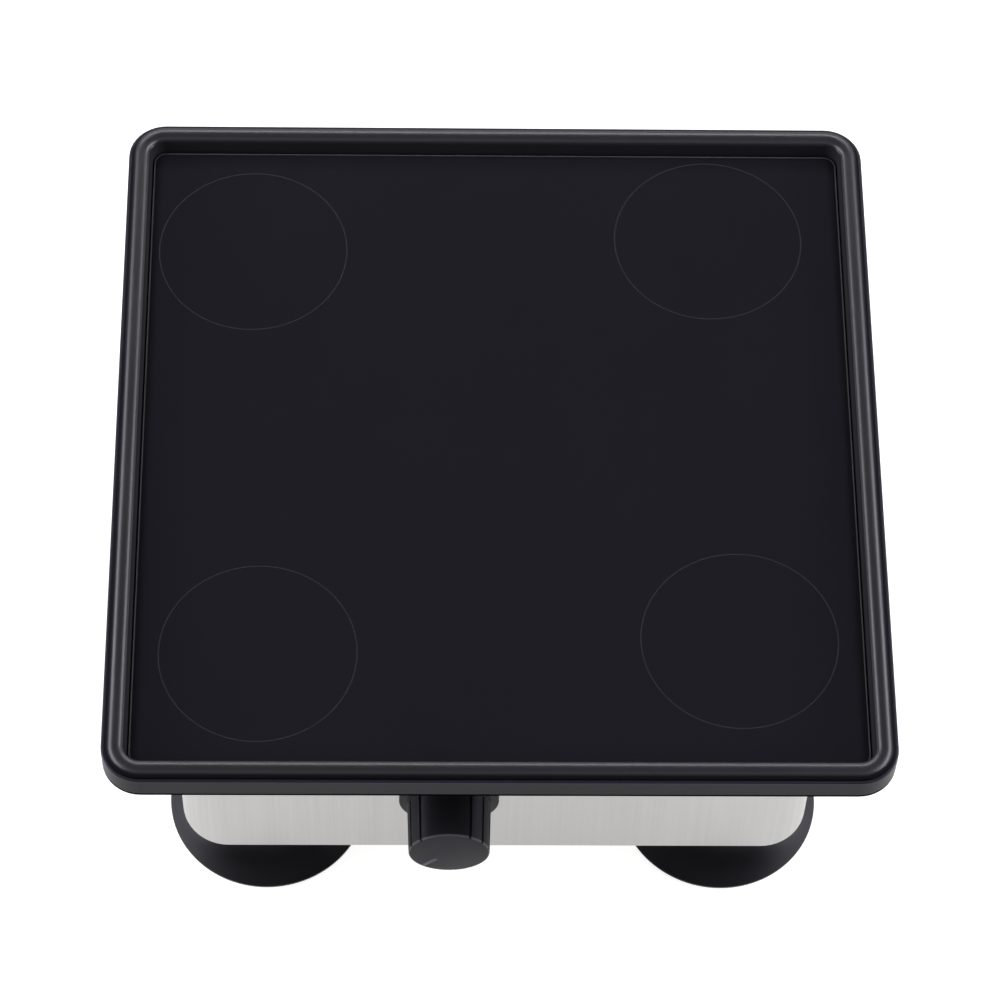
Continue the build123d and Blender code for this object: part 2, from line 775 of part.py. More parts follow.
with BuildPart() as magnet_nuts:
    with BuildSketch(Plane.XZ.offset(-bolt_seat)):
        with Locations(*core_bolt_places):
            RegularPolygon(m4_nut_flats / 2, 6, major_radius=False)
            Circle(m4_radius + thread_clearance, mode=Mode.SUBTRACT)
    extrude(amount=-m4_nut)
magnet_nuts.part.label = "magnet_nuts"
export_step(magnet_nuts.part, "parts/magnet_nuts.step")

with BuildPart() as bracket_screws:
    with at_height(bracket_places, casing_bottom):
        Cylinder(m4_head_radius, m4_head, align=below)
        Cylinder(m4_radius, base_sheet + bracket_sheet + screw_tip, align=above)
    with BuildSketch(Plane.XY.offset(casing_bottom - m4_head)):
        with Locations(*bracket_places):
            RegularPolygon(drive_radius, 6)
    extrude(amount=drive_depth, mode=Mode.SUBTRACT)
bracket_screws.part.label = "bracket_screws"
export_step(bracket_screws.part, "parts/bracket_screws.step")

# Potentiometer with its switch, and the nut that holds it in the front panel
with BuildPart() as potentiometer_body:
    with BuildSketch(knob_plane.offset(-casing_sheet)):
        Circle(pot_radius)
    extrude(amount=-pot_depth)
    with BuildSketch(knob_plane.offset(-casing_sheet)):
        Circle(bush_radius)
    extrude(amount=casing_sheet + bush_reach)
    with BuildSketch(knob_plane.offset(bush_reach)):
        Circle(shaft_radius + shaft_running)
    extrude(amount=-(bush_reach + casing_sheet + shaft_seat), mode=Mode.SUBTRACT)
    with BuildSketch(knob_plane.offset(-casing_sheet - pot_lug_setback)):
        with Locations(*[(side * pot_lug_step, pot_lug_root - pot_radius) for side in (-1, 0, 1)]):
            Rectangle(pot_lug_width, pot_lug_root + pot_lug_length, align=(Align.CENTER, Align.MAX))
    extrude(amount=-pot_lug_sheet)
potentiometer_body.part.label = "potentiometer_body"
export_step(potentiometer_body.part, "parts/potentiometer_body.step")

with BuildPart() as potentiometer_nut:
    with BuildSketch(knob_plane):
        RegularPolygon(bush_nut_flats / 2, 6, major_radius=False)
        Circle(bush_radius + thread_clearance, mode=Mode.SUBTRACT)
    extrude(amount=bush_nut)
potentiometer_nut.part.label = "potentiometer_nut"
export_step(potentiometer_nut.part, "parts/potentiometer_nut.step")

shaft_top = knob_reach - knob_cap
shaft_length = shaft_top + casing_sheet + shaft_seat - shaft_end_gap
with BuildPart() as potentiometer_shaft:
    with BuildSketch(knob_plane.offset(shaft_top)):
        Circle(shaft_radius)
    extrude(amount=-shaft_length)
    with BuildSketch(knob_plane.offset(shaft_top)):
        with Locations(clock_point(2 * shaft_radius - shaft_flat, grip_screw_clock)):
            Rectangle(2 * shaft_radius, 2 * shaft_radius, rotation=-grip_screw_clock)
    extrude(amount=-shaft_flat_length, mode=Mode.SUBTRACT)
potentiometer_shaft.part.label = "potentiometer_shaft"
export_step(potentiometer_shaft.part, "parts/potentiometer_shaft.step")

# Control knob: a skirt and a slightly tapered grip with three groups of flutes
skirt_front = knob_gap + skirt_thickness
flute_bottom = skirt_front + flute_start
flute_top = knob_reach + flute_radius
knob_draft = (knob_root_radius - knob_face_radius) / (knob_reach - skirt_front)
flute_clocks = [
    flute_group_clock + group * 360 / flute_groups + (flute - (flute_count - 1) / 2) * flute_step
    for group in range(flute_groups)
    for flute in range(flute_count)
]
pointer_angle = math.radians(pointer_clock)
grip_angle = math.radians(grip_screw_clock)
pointer_plane = Plane(
    origin=knob_plane.offset(knob_reach).origin,
    x_dir=(math.sin(pointer_angle), 0, math.cos(pointer_angle)),
    z_dir=(0, -1, 0),
)
grip_plane = Plane(
    origin=knob_plane.offset(grip_screw_forward).origin,
    x_dir=(0, -1, 0),
    z_dir=(math.sin(grip_angle), 0, math.cos(grip_angle)),
)
with BuildPart() as control_knob:
    with BuildSketch(knob_plane.offset(knob_gap)):
        Circle(skirt_radius)
    extrude(amount=skirt_thickness)
    with BuildSketch(knob_plane.offset(skirt_front)):
        Circle(knob_root_radius)
    with BuildSketch(knob_plane.offset(knob_reach)):
        Circle(knob_face_radius)
    loft()
    chamfer(control_knob.edges().group_by(Axis.Y)[0], knob_chamfer)
    for clock in flute_clocks:
        for height in (flute_bottom, flute_top):
            with BuildSketch(knob_plane.offset(height)):
                flute_line = knob_root_radius - knob_draft * (height - skirt_front) - flute_sink
                with Locations(clock_point(flute_line, clock)):
                    Circle(flute_radius)
        loft(mode=Mode.SUBTRACT)
    with BuildSketch(knob_plane.offset(knob_gap)):
        Circle(nut_pocket_radius)
    extrude(amount=nut_pocket_depth, mode=Mode.SUBTRACT)
    with BuildSketch(knob_plane.offset(knob_gap)):
        Circle(shaft_radius + thread_clearance)
    extrude(amount=shaft_top - knob_gap, mode=Mode.SUBTRACT)
    with BuildSketch(grip_plane):
        Circle(grip_screw_radius + thread_clearance)
    extrude(amount=knob_root_radius, mode=Mode.SUBTRACT)
    with BuildSketch(pointer_plane):
        with Locations(((pointer_inner + pointer_outer) / 2, 0)):
            Rectangle(pointer_outer - pointer_inner, pointer_width)
    extrude(amount=-pointer_depth, mode=Mode.SUBTRACT)
control_knob.part.label = "control_knob"
export_step(control_knob.part, "parts/control_knob.step")

with BuildPart() as knob_pointer:
    with BuildSketch(pointer_plane):
        with Locations(((pointer_inner + pointer_outer) / 2, 0)):
            Rectangle(pointer_outer - pointer_inner, pointer_width)
    extrude(amount=-pointer_depth)
knob_pointer.part.label = "knob_pointer"
export_step(knob_pointer.part, "parts/knob_pointer.step")

with BuildPart() as knob_grip_screw:
    with BuildSketch(grip_plane.offset(shaft_radius - shaft_flat)):
        Circle(grip_screw_radius)
    extrude(amount=grip_screw_length)
    with BuildSketch(grip_plane.offset(shaft_radius - shaft_flat + grip_screw_length)):
        RegularPolygon(grip_drive_radius, 6)
    extrude(amount=-drive_depth, mode=Mode.SUBTRACT)
knob_grip_screw.part.label = "knob_grip_screw"
export_step(knob_grip_screw.part, "parts/knob_grip_screw.step")

# Gland for the mains lead in the rear panel
gland_nose = gland_flange + gland_dome
with BuildPart() as lead_gland:
    with BuildSketch(gland_plane):
        RegularPolygon(gland_flats / 2, 6, major_radius=False)
    extrude(amount=gland_flange)
    with BuildSketch(gland_plane.offset(gland_flange)):
        Circle(gland_dome_radius)
    with BuildSketch(gland_plane.offset(gland_nose)):
        Circle(gland_dome_nose)
    loft()
    with BuildSketch(gland_plane):
        Circle(gland_body_radius)
    extrude(amount=-(casing_sheet + gland_inside))
    with BuildSketch(gland_plane.offset(gland_nose)):
        Circle(gland_bore_radius)
    extrude(amount=-(gland_nose + casing_sheet + gland_inside), mode=Mode.SUBTRACT)
lead_gland.part.label = "lead_gland"
export_step(lead_gland.part, "parts/lead_gland.step")

with BuildPart() as gland_locknut:
    with BuildSketch(gland_plane.offset(-casing_sheet)):
        RegularPolygon(gland_flats / 2, 6, major_radius=False)
        Circle(gland_body_radius + thread_clearance, mode=Mode.SUBTRACT)
    extrude(amount=-gland_nut)
gland_locknut.part.label = "gland_locknut"
export_step(gland_locknut.part, "parts/gland_locknut.step")

# Fuse holder in the rear panel, with its nut, cap, fuse and solder tabs
fuse_spigot_end = fuse_flange - fuse_cap_spigot
fuse_end = fuse_spigot_end - fuse_length
barrel_end = -casing_sheet - fuse_barrel_length
with BuildPart() as fuse_holder:
    with BuildSketch(fuse_plane):
        Circle(fuse_flange_radius)
    extrude(amount=fuse_flange)
    with BuildSketch(fuse_plane):
        Circle(fuse_barrel_radius)
    extrude(amount=barrel_end)
    with BuildSketch(fuse_plane.offset(fuse_flange)):
        Circle(fuse_bore_radius)
    extrude(amount=fuse_end - fuse_flange, mode=Mode.SUBTRACT)
fuse_holder.part.label = "fuse_holder"
export_step(fuse_holder.part, "parts/fuse_holder.step")

with BuildPart() as fuse_locknut:
    with BuildSketch(fuse_plane.offset(-casing_sheet)):
        RegularPolygon(fuse_nut_flats / 2, 6, major_radius=False)
        Circle(fuse_barrel_radius + thread_clearance, mode=Mode.SUBTRACT)
    extrude(amount=-fuse_nut)
fuse_locknut.part.label = "fuse_locknut"
export_step(fuse_locknut.part, "parts/fuse_locknut.step")

with BuildPart() as fuse_cap_piece:
    with BuildSketch(fuse_plane.offset(fuse_flange)):
        Circle(fuse_cap_radius)
    extrude(amount=fuse_cap)
    with BuildSketch(fuse_plane.offset(fuse_flange)):
        Circle(fuse_bore_radius - fuse_cap_fit)
    extrude(amount=-fuse_cap_spigot)
    with BuildSketch(fuse_plane.offset(fuse_flange + fuse_cap)):
        Rectangle(fuse_cap_radius, fuse_cap_slot)
    extrude(amount=-fuse_cap_slot_depth, mode=Mode.SUBTRACT)
fuse_cap_piece.part.label = "fuse_cap"
export_step(fuse_cap_piece.part, "parts/fuse_cap.step")

with BuildPart() as glass_fuse:
    with BuildSketch(fuse_plane.offset(fuse_spigot_end)):
        Circle(fuse_radius)
    extrude(amount=-fuse_length)
glass_fuse.part.label = "glass_fuse"
export_step(glass_fuse.part, "parts/glass_fuse.step")

with BuildPart() as fuse_tabs:
    with BuildSketch(fuse_plane.offset(barrel_end)):
        Rectangle(fuse_tab_width, fuse_tab_sheet)
    extrude(amount=-fuse_tab_length)
    with BuildSketch(fuse_plane.offset(-fuse_tab_offset)):
        with Locations((0, -fuse_barrel_radius)):
            Rectangle(fuse_tab_width, fuse_tab_length, align=(Align.CENTER, Align.MAX))
    extrude(amount=-fuse_tab_sheet)
fuse_tabs.part.label = "fuse_tabs"
export_step(fuse_tabs.part, "parts/fuse_tabs.step")

# Control board on standoffs
board_bottom = base_top + standoff_height
board_top = board_bottom + board_sheet
board_plane = Plane((board_x, board_y, board_top))
with BuildPart() as control_board:
    with BuildSketch(Plane.XY.offset(board_bottom)):
        with Locations((board_x, board_y)):
            RectangleRounded(board_width, board_depth, board_edge_round)
        with Locations(*board_places):
            Circle(m3_radius + hole_clearance, mode=Mode.SUBTRACT)
    extrude(amount=board_sheet)
control_board.part.label = "control_board"
export_step(control_board.part, "parts/control_board.step")

with BuildPart() as board_standoffs:
    with BuildSketch(Plane.XY.offset(base_top)):
        with Locations(*board_places):
            RegularPolygon(standoff_flats / 2, 6, major_radius=False)
            Circle(m3_radius + thread_clearance, mode=Mode.SUBTRACT)
    extrude(amount=standoff_height)
board_standoffs.part.label = "board_standoffs"
export_step(board_standoffs.part, "parts/board_standoffs.step")

with BuildPart() as board_screws:
    with at_height(board_places, board_top):
        Cylinder(m3_head_radius, m3_head, align=above)
        Cylinder(m3_radius, board_sheet + board_bite, align=below)
    with at_height(board_places, casing_bottom):
        Cylinder(m3_head_radius, m3_head, align=below)
        Cylinder(m3_radius, base_sheet + board_bite, align=above)
board_screws.part.label = "board_screws"
export_step(board_screws.part, "parts/board_screws.step")

# Heat sink, triac, capacitor, choke and terminal strip on the board
with BuildPart() as heat_sink:
    with BuildSketch(board_plane):
        with Locations((sink_x - sink_width / 2, sink_y)):
            Rectangle(sink_web, sink_depth, align=(Align.MIN, Align.CENTER))
        with Locations((sink_x - sink_width / 2, sink_y)):
            with GridLocations(0, (sink_depth - sink_fin) / (sink_fins - 1), 1, sink_fins):
                Rectangle(sink_width, sink_fin, align=(Align.MIN, Align.CENTER))
    extrude(amount=sink_height)
heat_sink.part.label = "heat_sink"
export_step(heat_sink.part, "parts/heat_sink.step")

with BuildPart() as triac:
    with BuildSketch(board_plane):
        with Locations((sink_x - sink_width / 2, sink_y)):
            Rectangle(triac_width, triac_depth, align=(Align.MAX, Align.CENTER))
    extrude(amount=triac_height)
triac.part.label = "triac"
export_step(triac.part, "parts/triac.step")

with BuildPart() as film_capacitor:
    with BuildSketch(board_plane):
        with Locations((capacitor_x, capacitor_y)):
            RectangleRounded(capacitor_width, capacitor_depth, board_edge_round)
    extrude(amount=capacitor_height)
film_capacitor.part.label = "film_capacitor"
export_step(film_capacitor.part, "parts/film_capacitor.step")

with BuildPart() as choke:
    with Locations(board_plane.location * Location((choke_x, choke_y, choke_wire_radius))):
        Torus(choke_radius, choke_wire_radius)
choke.part.label = "choke"
export_step(choke.part, "parts/choke.step")

strip_y = strip_inset + strip_depth / 2 - board_depth / 2
strip_offsets = [(way - (strip_ways - 1) / 2) * strip_way_step for way in range(strip_ways)]
strip_front = board_y + strip_y - strip_depth / 2
strip_hole_height = board_top + strip_hole_rise
with BuildPart() as terminal_strip:
    with BuildSketch(board_plane):
        with Locations((0, strip_y)):
            Rectangle(strip_width, strip_depth)
    extrude(amount=strip_height)
    with BuildSketch(board_plane.offset(strip_height)):
        with Locations(*[(offset, strip_y) for offset in strip_offsets]):
            Circle(strip_screw_radius)
    extrude(amount=-strip_screw_depth, mode=Mode.SUBTRACT)
    with BuildSketch(Plane.XZ.offset(-strip_front)):
        with Locations(*[(board_x + offset, strip_hole_height) for offset in strip_offsets]):
            Circle(strip_hole_radius)
    extrude(amount=-strip_hole_depth, mode=Mode.SUBTRACT)
terminal_strip.part.label = "terminal_strip"
export_step(terminal_strip.part, "parts/terminal_strip.step")

# Mains terminal block on the base plate
way_offsets = [(way - (block_ways - 1) / 2) * block_way_step for way in range(block_ways)]
block_front = block_y - block_depth / 2
block_hole_height = base_top + block_hole_rise
with BuildPart() as terminal_block:
    with BuildSketch(Plane.XY.offset(base_top)):
        with Locations((block_x, block_y)):
            Rectangle(block_width, block_depth)
    extrude(amount=block_height)
    with BuildSketch(Plane.XY.offset(base_top + block_height)):
        with Locations(*[(block_x + offset, block_y) for offset in way_offsets]):
            Circle(block_screw_radius)
    extrude(amount=-block_screw_depth, mode=Mode.SUBTRACT)
    with BuildSketch(Plane.XZ.offset(-block_front)):
        with Locations(*[(block_x + offset, block_hole_height) for offset in way_offsets]):
            Circle(block_hole_radius)
    extrude(amount=-block_depth, mode=Mode.SUBTRACT)
    with BuildSketch(Plane.XY.offset(base_top)):
        with Locations(*block_fix_places):
            Circle(m3_radius + thread_clearance)
    extrude(amount=block_fix_depth, mode=Mode.SUBTRACT)
terminal_block.part.label = "terminal_block"
export_step(terminal_block.part, "parts/terminal_block.step")

with BuildPart() as block_screws:
    with at_height(block_fix_places, casing_bottom):
        Cylinder(m3_head_radius, m3_head, align=below)
        Cylinder(m3_radius, base_sheet + block_fix_depth, align=above)
block_screws.part.label = "block_screws"
export_step(block_screws.part, "parts/block_screws.step")

# Earth stud with its nut and crimped lug
with BuildPart() as earth_stud:
    with at_height([(earth_x, earth_y)], casing_bottom):
        Cylinder(m4_head_radius, m4_head, align=below)
        Cylinder(m4_radius, base_sheet + earth_height, align=above)
    with BuildSketch(Plane.XY.offset(base_top)):
        with Locations((earth_x, earth_y)):
            RegularPolygon(m4_nut_flats / 2, 6, major_radius=False)
    extrude(amount=m4_nut)
    with at_height([(earth_x, earth_y)], base_top + m4_nut):
        Cylinder(earth_lug_radius, earth_lug, align=above)
earth_stud.part.label = "earth_stud"
export_step(earth_stud.part, "parts/earth_stud.step")


def lead(points):
    with BuildPart() as wire:
        with BuildLine() as route:
            FilletPolyline(*points, radius=lead_bend)
        with BuildSketch(Plane(origin=route.line @ 0, z_dir=route.line % 0)):
            Circle(lead_radius)
        sweep(path=route.line)
    return wire.part.solid()


def strip_way(way, line_y, height):
    """The last points of a lead: across to its way, down to its height and into its hole."""
    x = board_x + strip_offsets[way]
    drop = [(x, line_y, strip_hole_height)] if height > strip_hole_height else []
    return [(x, line_y, height)] + drop + [(x, strip_front + lead_entry, strip_hole_height)]


# Leads from the potentiometer's lugs to the strip
lug_y = -casing_depth / 2 + casing_sheet + pot_lug_setback + pot_lug_sheet / 2
lug_bottom = casing_bottom + knob_rise - pot_radius - pot_lug_length
front_lines = [strip_front - front_lead_gap - line * front_lead_step for line in range(4)]
lug_places = [knob_x + side * pot_lug_step for side in (-1, 0, 1)]
pot_lead_lines = [lug_y + pot_lead_offset + line * pot_lead_step for line in (2, 1, 0)]
pot_leads = [
    lead(
        [
            (lug_x, lug_y, lug_bottom),
            (lug_x, lug_y, strip_hole_height),
            (lug_x, line_y, strip_hole_height),
        ]
        + strip_way(way, line_y, strip_hole_height)
    )
    for way, (lug_x, line_y) in enumerate(zip(lug_places, pot_lead_lines))
]
pot_lead_group = Compound(pot_leads)
pot_lead_group.label = "potentiometer_leads"
export_step(pot_lead_group, "parts/potentiometer_leads.step")

# Leads from the coil to the strip
winding_face = -(flange_depth / 2 - winding_inset)
coil_leads = []
for way, (side, level) in enumerate(((1, 0), (-1, 1)), start=len(pot_leads)):
    x = coil_lead_x + side * coil_lead_step / 2
    height = winding_bottom + coil_lead_rise + level * coil_lead_stack
    points = [(x, winding_face, height), (x, front_lines[level], height)]
    coil_leads.append(lead(points + strip_way(way, front_lines[level], height)))
coil_lead_group = Compound(coil_leads)
coil_lead_group.label = "coil_leads"
export_step(coil_lead_group, "parts/coil_leads.step")

# Live lead from block to fuse and on to the strip, and the neutral lead from block to strip
fuse_tab_y = casing_depth / 2 - fuse_tab_offset - fuse_tab_sheet / 2
fuse_tab_bottom = casing_bottom + fuse_rise - fuse_barrel_radius - fuse_tab_length
fuse_tab_end = casing_depth / 2 + barrel_end - fuse_tab_length
fuse_height = casing_bottom + fuse_rise
neutral_height = fuse_height - neutral_lead_drop
earth_way_x, neutral_way_x, live_way_x = [block_x + offset for offset in way_offsets]
block_entry_y = block_front + lead_entry
mains_leads = [
    lead(
        [
            (live_way_x, block_entry_y, block_hole_height),
            (live_way_x, block_front - fuse_lead_turn, block_hole_height),
            (fuse_x - fuse_lead_side, block_front - fuse_lead_turn, block_hole_height),
            (fuse_x - fuse_lead_side, fuse_tab_y, block_hole_height),
            (fuse_x, fuse_tab_y, block_hole_height),
            (fuse_x, fuse_tab_y, fuse_tab_bottom),
        ]
    ),
    lead(
        [
            (fuse_x, fuse_tab_end, fuse_height),
            (fuse_x, fuse_tab_end - live_lead_turn, fuse_height),
            (core_width / 2 + live_lead_gap, fuse_tab_end - live_lead_turn, fuse_height),
            (core_width / 2 + live_lead_gap, front_lines[2], fuse_height),
        ]
        + strip_way(5, front_lines[2], fuse_height)
    ),
    lead(
        [
            (neutral_way_x, block_entry_y, block_hole_height),
            (neutral_way_x, block_front - neutral_lead_turn, block_hole_height),
            (neutral_way_x, block_front - neutral_lead_turn, neutral_height),
            (neutral_way_x, front_lines[3], neutral_height),
        ]
        + strip_way(6, front_lines[3], neutral_height)
    ),
]
mains_lead_group = Compound(mains_leads)
mains_lead_group.label = "mains_leads"
export_step(mains_lead_group, "parts/mains_leads.step")

# Earth lead from block to stud
earth_lead = lead(
    [
        (earth_way_x, block_entry_y, block_hole_height),
        (earth_way_x, block_front - earth_lead_turn, block_hole_height),
        (earth_x, block_front - earth_lead_turn, block_hole_height),
        (earth_x, earth_y - earth_lug_radius - hole_clearance, block_hole_height),
    ]
)
earth_lead.label = "earth_lead"
export_step(earth_lead, "parts/earth_lead.step")
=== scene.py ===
import json
import math
import bpy
from mathutils import Matrix, Quaternion, Vector


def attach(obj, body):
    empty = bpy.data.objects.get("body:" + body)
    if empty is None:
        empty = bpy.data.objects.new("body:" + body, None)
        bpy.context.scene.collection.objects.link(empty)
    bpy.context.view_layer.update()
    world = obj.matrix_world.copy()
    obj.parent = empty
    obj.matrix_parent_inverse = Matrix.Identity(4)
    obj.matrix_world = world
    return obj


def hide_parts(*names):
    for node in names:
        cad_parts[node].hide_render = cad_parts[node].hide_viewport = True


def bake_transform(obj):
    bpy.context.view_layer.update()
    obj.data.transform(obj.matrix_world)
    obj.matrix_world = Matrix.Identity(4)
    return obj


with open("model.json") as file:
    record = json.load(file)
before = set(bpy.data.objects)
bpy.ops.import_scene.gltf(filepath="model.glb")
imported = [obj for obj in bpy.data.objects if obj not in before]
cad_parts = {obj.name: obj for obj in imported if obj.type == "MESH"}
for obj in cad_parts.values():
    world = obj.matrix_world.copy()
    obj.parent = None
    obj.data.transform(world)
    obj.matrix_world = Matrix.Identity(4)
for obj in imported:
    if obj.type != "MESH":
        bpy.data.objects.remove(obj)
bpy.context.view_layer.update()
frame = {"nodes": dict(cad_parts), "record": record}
print("stage: frame loaded,", len(frame["nodes"]), "nodes")


# Helpers for working as by hand

hair = 0.00001  # too small to see: the draft of an upright wall, or the slack in a test


def clearSelection():
    if bpy.context.object and bpy.context.object.mode == "EDIT":
        bpy.ops.object.mode_set(mode="OBJECT")
    bpy.ops.object.select_all(action="DESELECT")


def focus(obj):
    clearSelection()
    obj.select_set(True)
    bpy.context.view_layer.objects.active = obj


def named(name):
    obj = bpy.context.object
    obj.name = name
    obj.data.name = name
    return obj


def pickFaces(obj, test):
    # leaves edit mode on, with the faces that pass selected
    focus(obj)
    bpy.ops.object.mode_set(mode="EDIT")
    bpy.ops.mesh.select_mode(type="FACE")
    bpy.ops.mesh.select_all(action="DESELECT")
    bpy.ops.object.mode_set(mode="OBJECT")
    for face in obj.data.polygons:
        face.select = bool(test(face.center, face.normal))
    bpy.ops.object.mode_set(mode="EDIT")


def pickEdges(obj, test):
    # leaves edit mode on, with the edges whose two ends pass selected
    focus(obj)
    bpy.ops.object.mode_set(mode="EDIT")
    bpy.ops.mesh.select_mode(type="EDGE")
    bpy.ops.mesh.select_all(action="DESELECT")
    bpy.ops.object.mode_set(mode="OBJECT")
    spots = [vertex.co for vertex in obj.data.vertices]
    for edge in obj.data.edges:
        edge.select = bool(test(spots[edge.vertices[0]], spots[edge.vertices[1]]))
    bpy.ops.object.mode_set(mode="EDIT")


def insetSteps(steps):
    # each step narrows the picked face by its first number and lifts it by its second
    for inward, lift in steps:
        bpy.ops.mesh.inset(thickness=inward, depth=lift, use_even_offset=True)


def settle(obj):
    # place, turn and size go into the mesh
    focus(obj)
    bpy.ops.object.transform_apply(location=True, rotation=True, scale=True)


def outward(obj):
    focus(obj)
    bpy.ops.object.mode_set(mode="EDIT")
    bpy.ops.mesh.select_all(action="SELECT")
    bpy.ops.mesh.remove_doubles(threshold=0.000004)
    bpy.ops.mesh.normals_make_consistent(inside=False)
    bpy.ops.object.mode_set(mode="OBJECT")


def smoothed(obj, degrees=32):
    focus(obj)
    bpy.ops.object.shade_smooth_by_angle(angle=math.radians(degrees))


def applied(obj, kind, **settings):
    focus(obj)
    modifier = obj.modifiers.new(kind.lower(), kind)
    for key, value in settings.items():
        setattr(modifier, key, value)
    bpy.ops.object.modifier_apply(modifier=modifier.name)


def carve(obj, cutter):
    applied(obj, "BOOLEAN", operation="DIFFERENCE", object=cutter, solver="EXACT")
    bpy.data.objects.remove(cutter)


def spun(name, profile, turns=96):
    # a closed shape turned round Z from a profile of (radius, height)
    clearSelection()
    bpy.ops.mesh.primitive_plane_add(size=0.001)
    obj = named(name)
    bpy.ops.object.mode_set(mode="EDIT")
    bpy.ops.mesh.select_mode(type="VERT")
    bpy.ops.mesh.select_all(action="SELECT")
    bpy.ops.mesh.merge(type="CENTER")
    bpy.ops.transform.translate(value=(profile[0][0], 0, profile[0][1]))
    for start, end in zip(profile, profile[1:]):
        step = (end[0] - start[0], 0, end[1] - start[1])
        bpy.ops.mesh.extrude_vertices_move(TRANSFORM_OT_translate={"value": step})
    bpy.ops.mesh.select_all(action="SELECT")
    bpy.ops.mesh.spin(steps=turns, angle=math.tau, center=(0, 0, 0), axis=(0, 0, 1))
    bpy.ops.object.mode_set(mode="OBJECT")
    outward(obj)
    return obj


def arcPoints(centre, radius, start, end, count):
    # points on an arc, angles in degrees from +X towards +Y
    angles = [math.radians(start + (end - start) * step / count) for step in range(count + 1)]
    return [(centre[0] + radius * math.cos(a), centre[1] + radius * math.sin(a)) for a in angles]


def throughThree(first, middle, last, count):
    # an arc through three points, as a list of points
    (ax, ay), (bx, by), (cx, cy) = first, middle, last
    a, b, c = ax**2 + ay**2, bx**2 + by**2, cx**2 + cy**2
    spread = 2 * (ax * (by - cy) + bx * (cy - ay) + cx * (ay - by))
    centreX = (a * (by - cy) + b * (cy - ay) + c * (ay - by)) / spread
    centreY = (a * (cx - bx) + b * (ax - cx) + c * (bx - ax)) / spread
    radius = math.hypot(ax - centreX, ay - centreY)
    start = math.atan2(ay - centreY, ax - centreX)
    turn = (math.atan2(cy - centreY, cx - centreX) - start + math.pi) % math.tau - math.pi
    angles = [start + turn * step / count for step in range(count + 1)]
    return [(centreX + radius * math.cos(angle), centreY + radius * math.sin(angle)) for angle in angles]


def paint(obj, material):
    obj.data.materials.clear()
    obj.data.materials.append(material)


# Camera at the photograph's place

cameraSetup = {
    "place": (-0.0264, -0.6463, 1.1741),
    "aim": (0.00044, -0.02202, 0.1065),
    "roll": 2.368,
    "lens": 143.06,
}
clearSelection()
bpy.ops.object.camera_add(location=cameraSetup["place"])
camera = named("photoCamera")
lookAlong = (Vector(cameraSetup["aim"]) - Vector(cameraSetup["place"])).to_track_quat("-Z", "Y")
camera.rotation_mode = "QUATERNION"
camera.rotation_quaternion = lookAlong @ Quaternion((0, 0, 1), math.radians(cameraSetup["roll"]))
camera.data.lens = cameraSetup["lens"]
camera.data.sensor_width = 36
camera.data.dof.use_dof = False
bpy.context.scene.camera = camera
bpy.context.scene.view_settings.view_transform = "Standard"
print("stage: camera placed")


# Shader groups and steps shared by several finishes

noiseSpan = (0.3, 0.7)  # most of a noise pattern lies between these
toneSpan = (0.35, 0.65)  # the same for the tone of scratches
grainDepth = 0.00005
scratchDepth = 0.00004


def newGroup(name, inputs, outputs):
    group = bpy.data.node_groups.new(name, "ShaderNodeTree")
    for label, kind, value in inputs:
        socket = group.interface.new_socket(name=label, in_out="INPUT", socket_type=kind)
        if value is not None:
            socket.default_value = value
    for label, kind in outputs:
        group.interface.new_socket(name=label, in_out="OUTPUT", socket_type=kind)
    start = group.nodes.new("NodeGroupInput")
    end = group.nodes.new("NodeGroupOutput")
    return group, start, end


def mathNode(tree, operation, first, second=None):
    node = tree.nodes.new("ShaderNodeMath")
    node.operation = operation
    for index, value in enumerate((first, second)):
        if value is None:
            continue
        if isinstance(value, (int, float)):
            node.inputs[index].default_value = value
        else:
            tree.links.new(value, node.inputs[index])
    return node.outputs[0]


def rangeNode(tree, value, low, high, toLow, toHigh):
    node = tree.nodes.new("ShaderNodeMapRange")
    tree.links.new(value, node.inputs["Value"])
    for label, setting in (("From Min", low), ("From Max", high), ("To Min", toLow), ("To Max", toHigh)):
        if isinstance(setting, (int, float)):
            node.inputs[label].default_value = setting
        else:
            tree.links.new(setting, node.inputs[label])
    return node.outputs["Result"]


def noiseNode(tree, vector, scale, detail, roughness=0.55):
    node = tree.nodes.new("ShaderNodeTexNoise")
    node.inputs["Detail"].default_value = detail
    node.inputs["Roughness"].default_value = roughness
    if isinstance(scale, (int, float)):
        node.inputs["Scale"].default_value = scale
    else:
        tree.links.new(scale, node.inputs["Scale"])
    tree.links.new(vector, node.inputs["Vector"])
    return node.outputs["Fac"]


def makeTintDrift():
    # colour that drifts a little lighter and darker over the surface
    group, start, end = newGroup(
        "tintDrift",
        [
            ("Vector", "NodeSocketVector", None),
            ("Color", "NodeSocketColor", (0.5, 0.5, 0.5, 1)),
            ("Amount", "NodeSocketFloat", 0.1),
            ("Scale", "NodeSocketFloat", 30.0),
        ],
        [("Color", "NodeSocketColor")],
    )
    cloud = noiseNode(group, start.outputs["Vector"], start.outputs["Scale"], 5)
    low = mathNode(group, "SUBTRACT", 1.0, start.outputs["Amount"])
    high = mathNode(group, "ADD", 1.0, start.outputs["Amount"])
    factor = rangeNode(group, cloud, *noiseSpan, low, high)
    scaled = group.nodes.new("ShaderNodeVectorMath")
    scaled.operation = "SCALE"
    group.links.new(start.outputs["Color"], scaled.inputs[0])
    group.links.new(factor, scaled.inputs["Scale"])
    group.links.new(scaled.outputs[0], end.inputs["Color"])
    return group


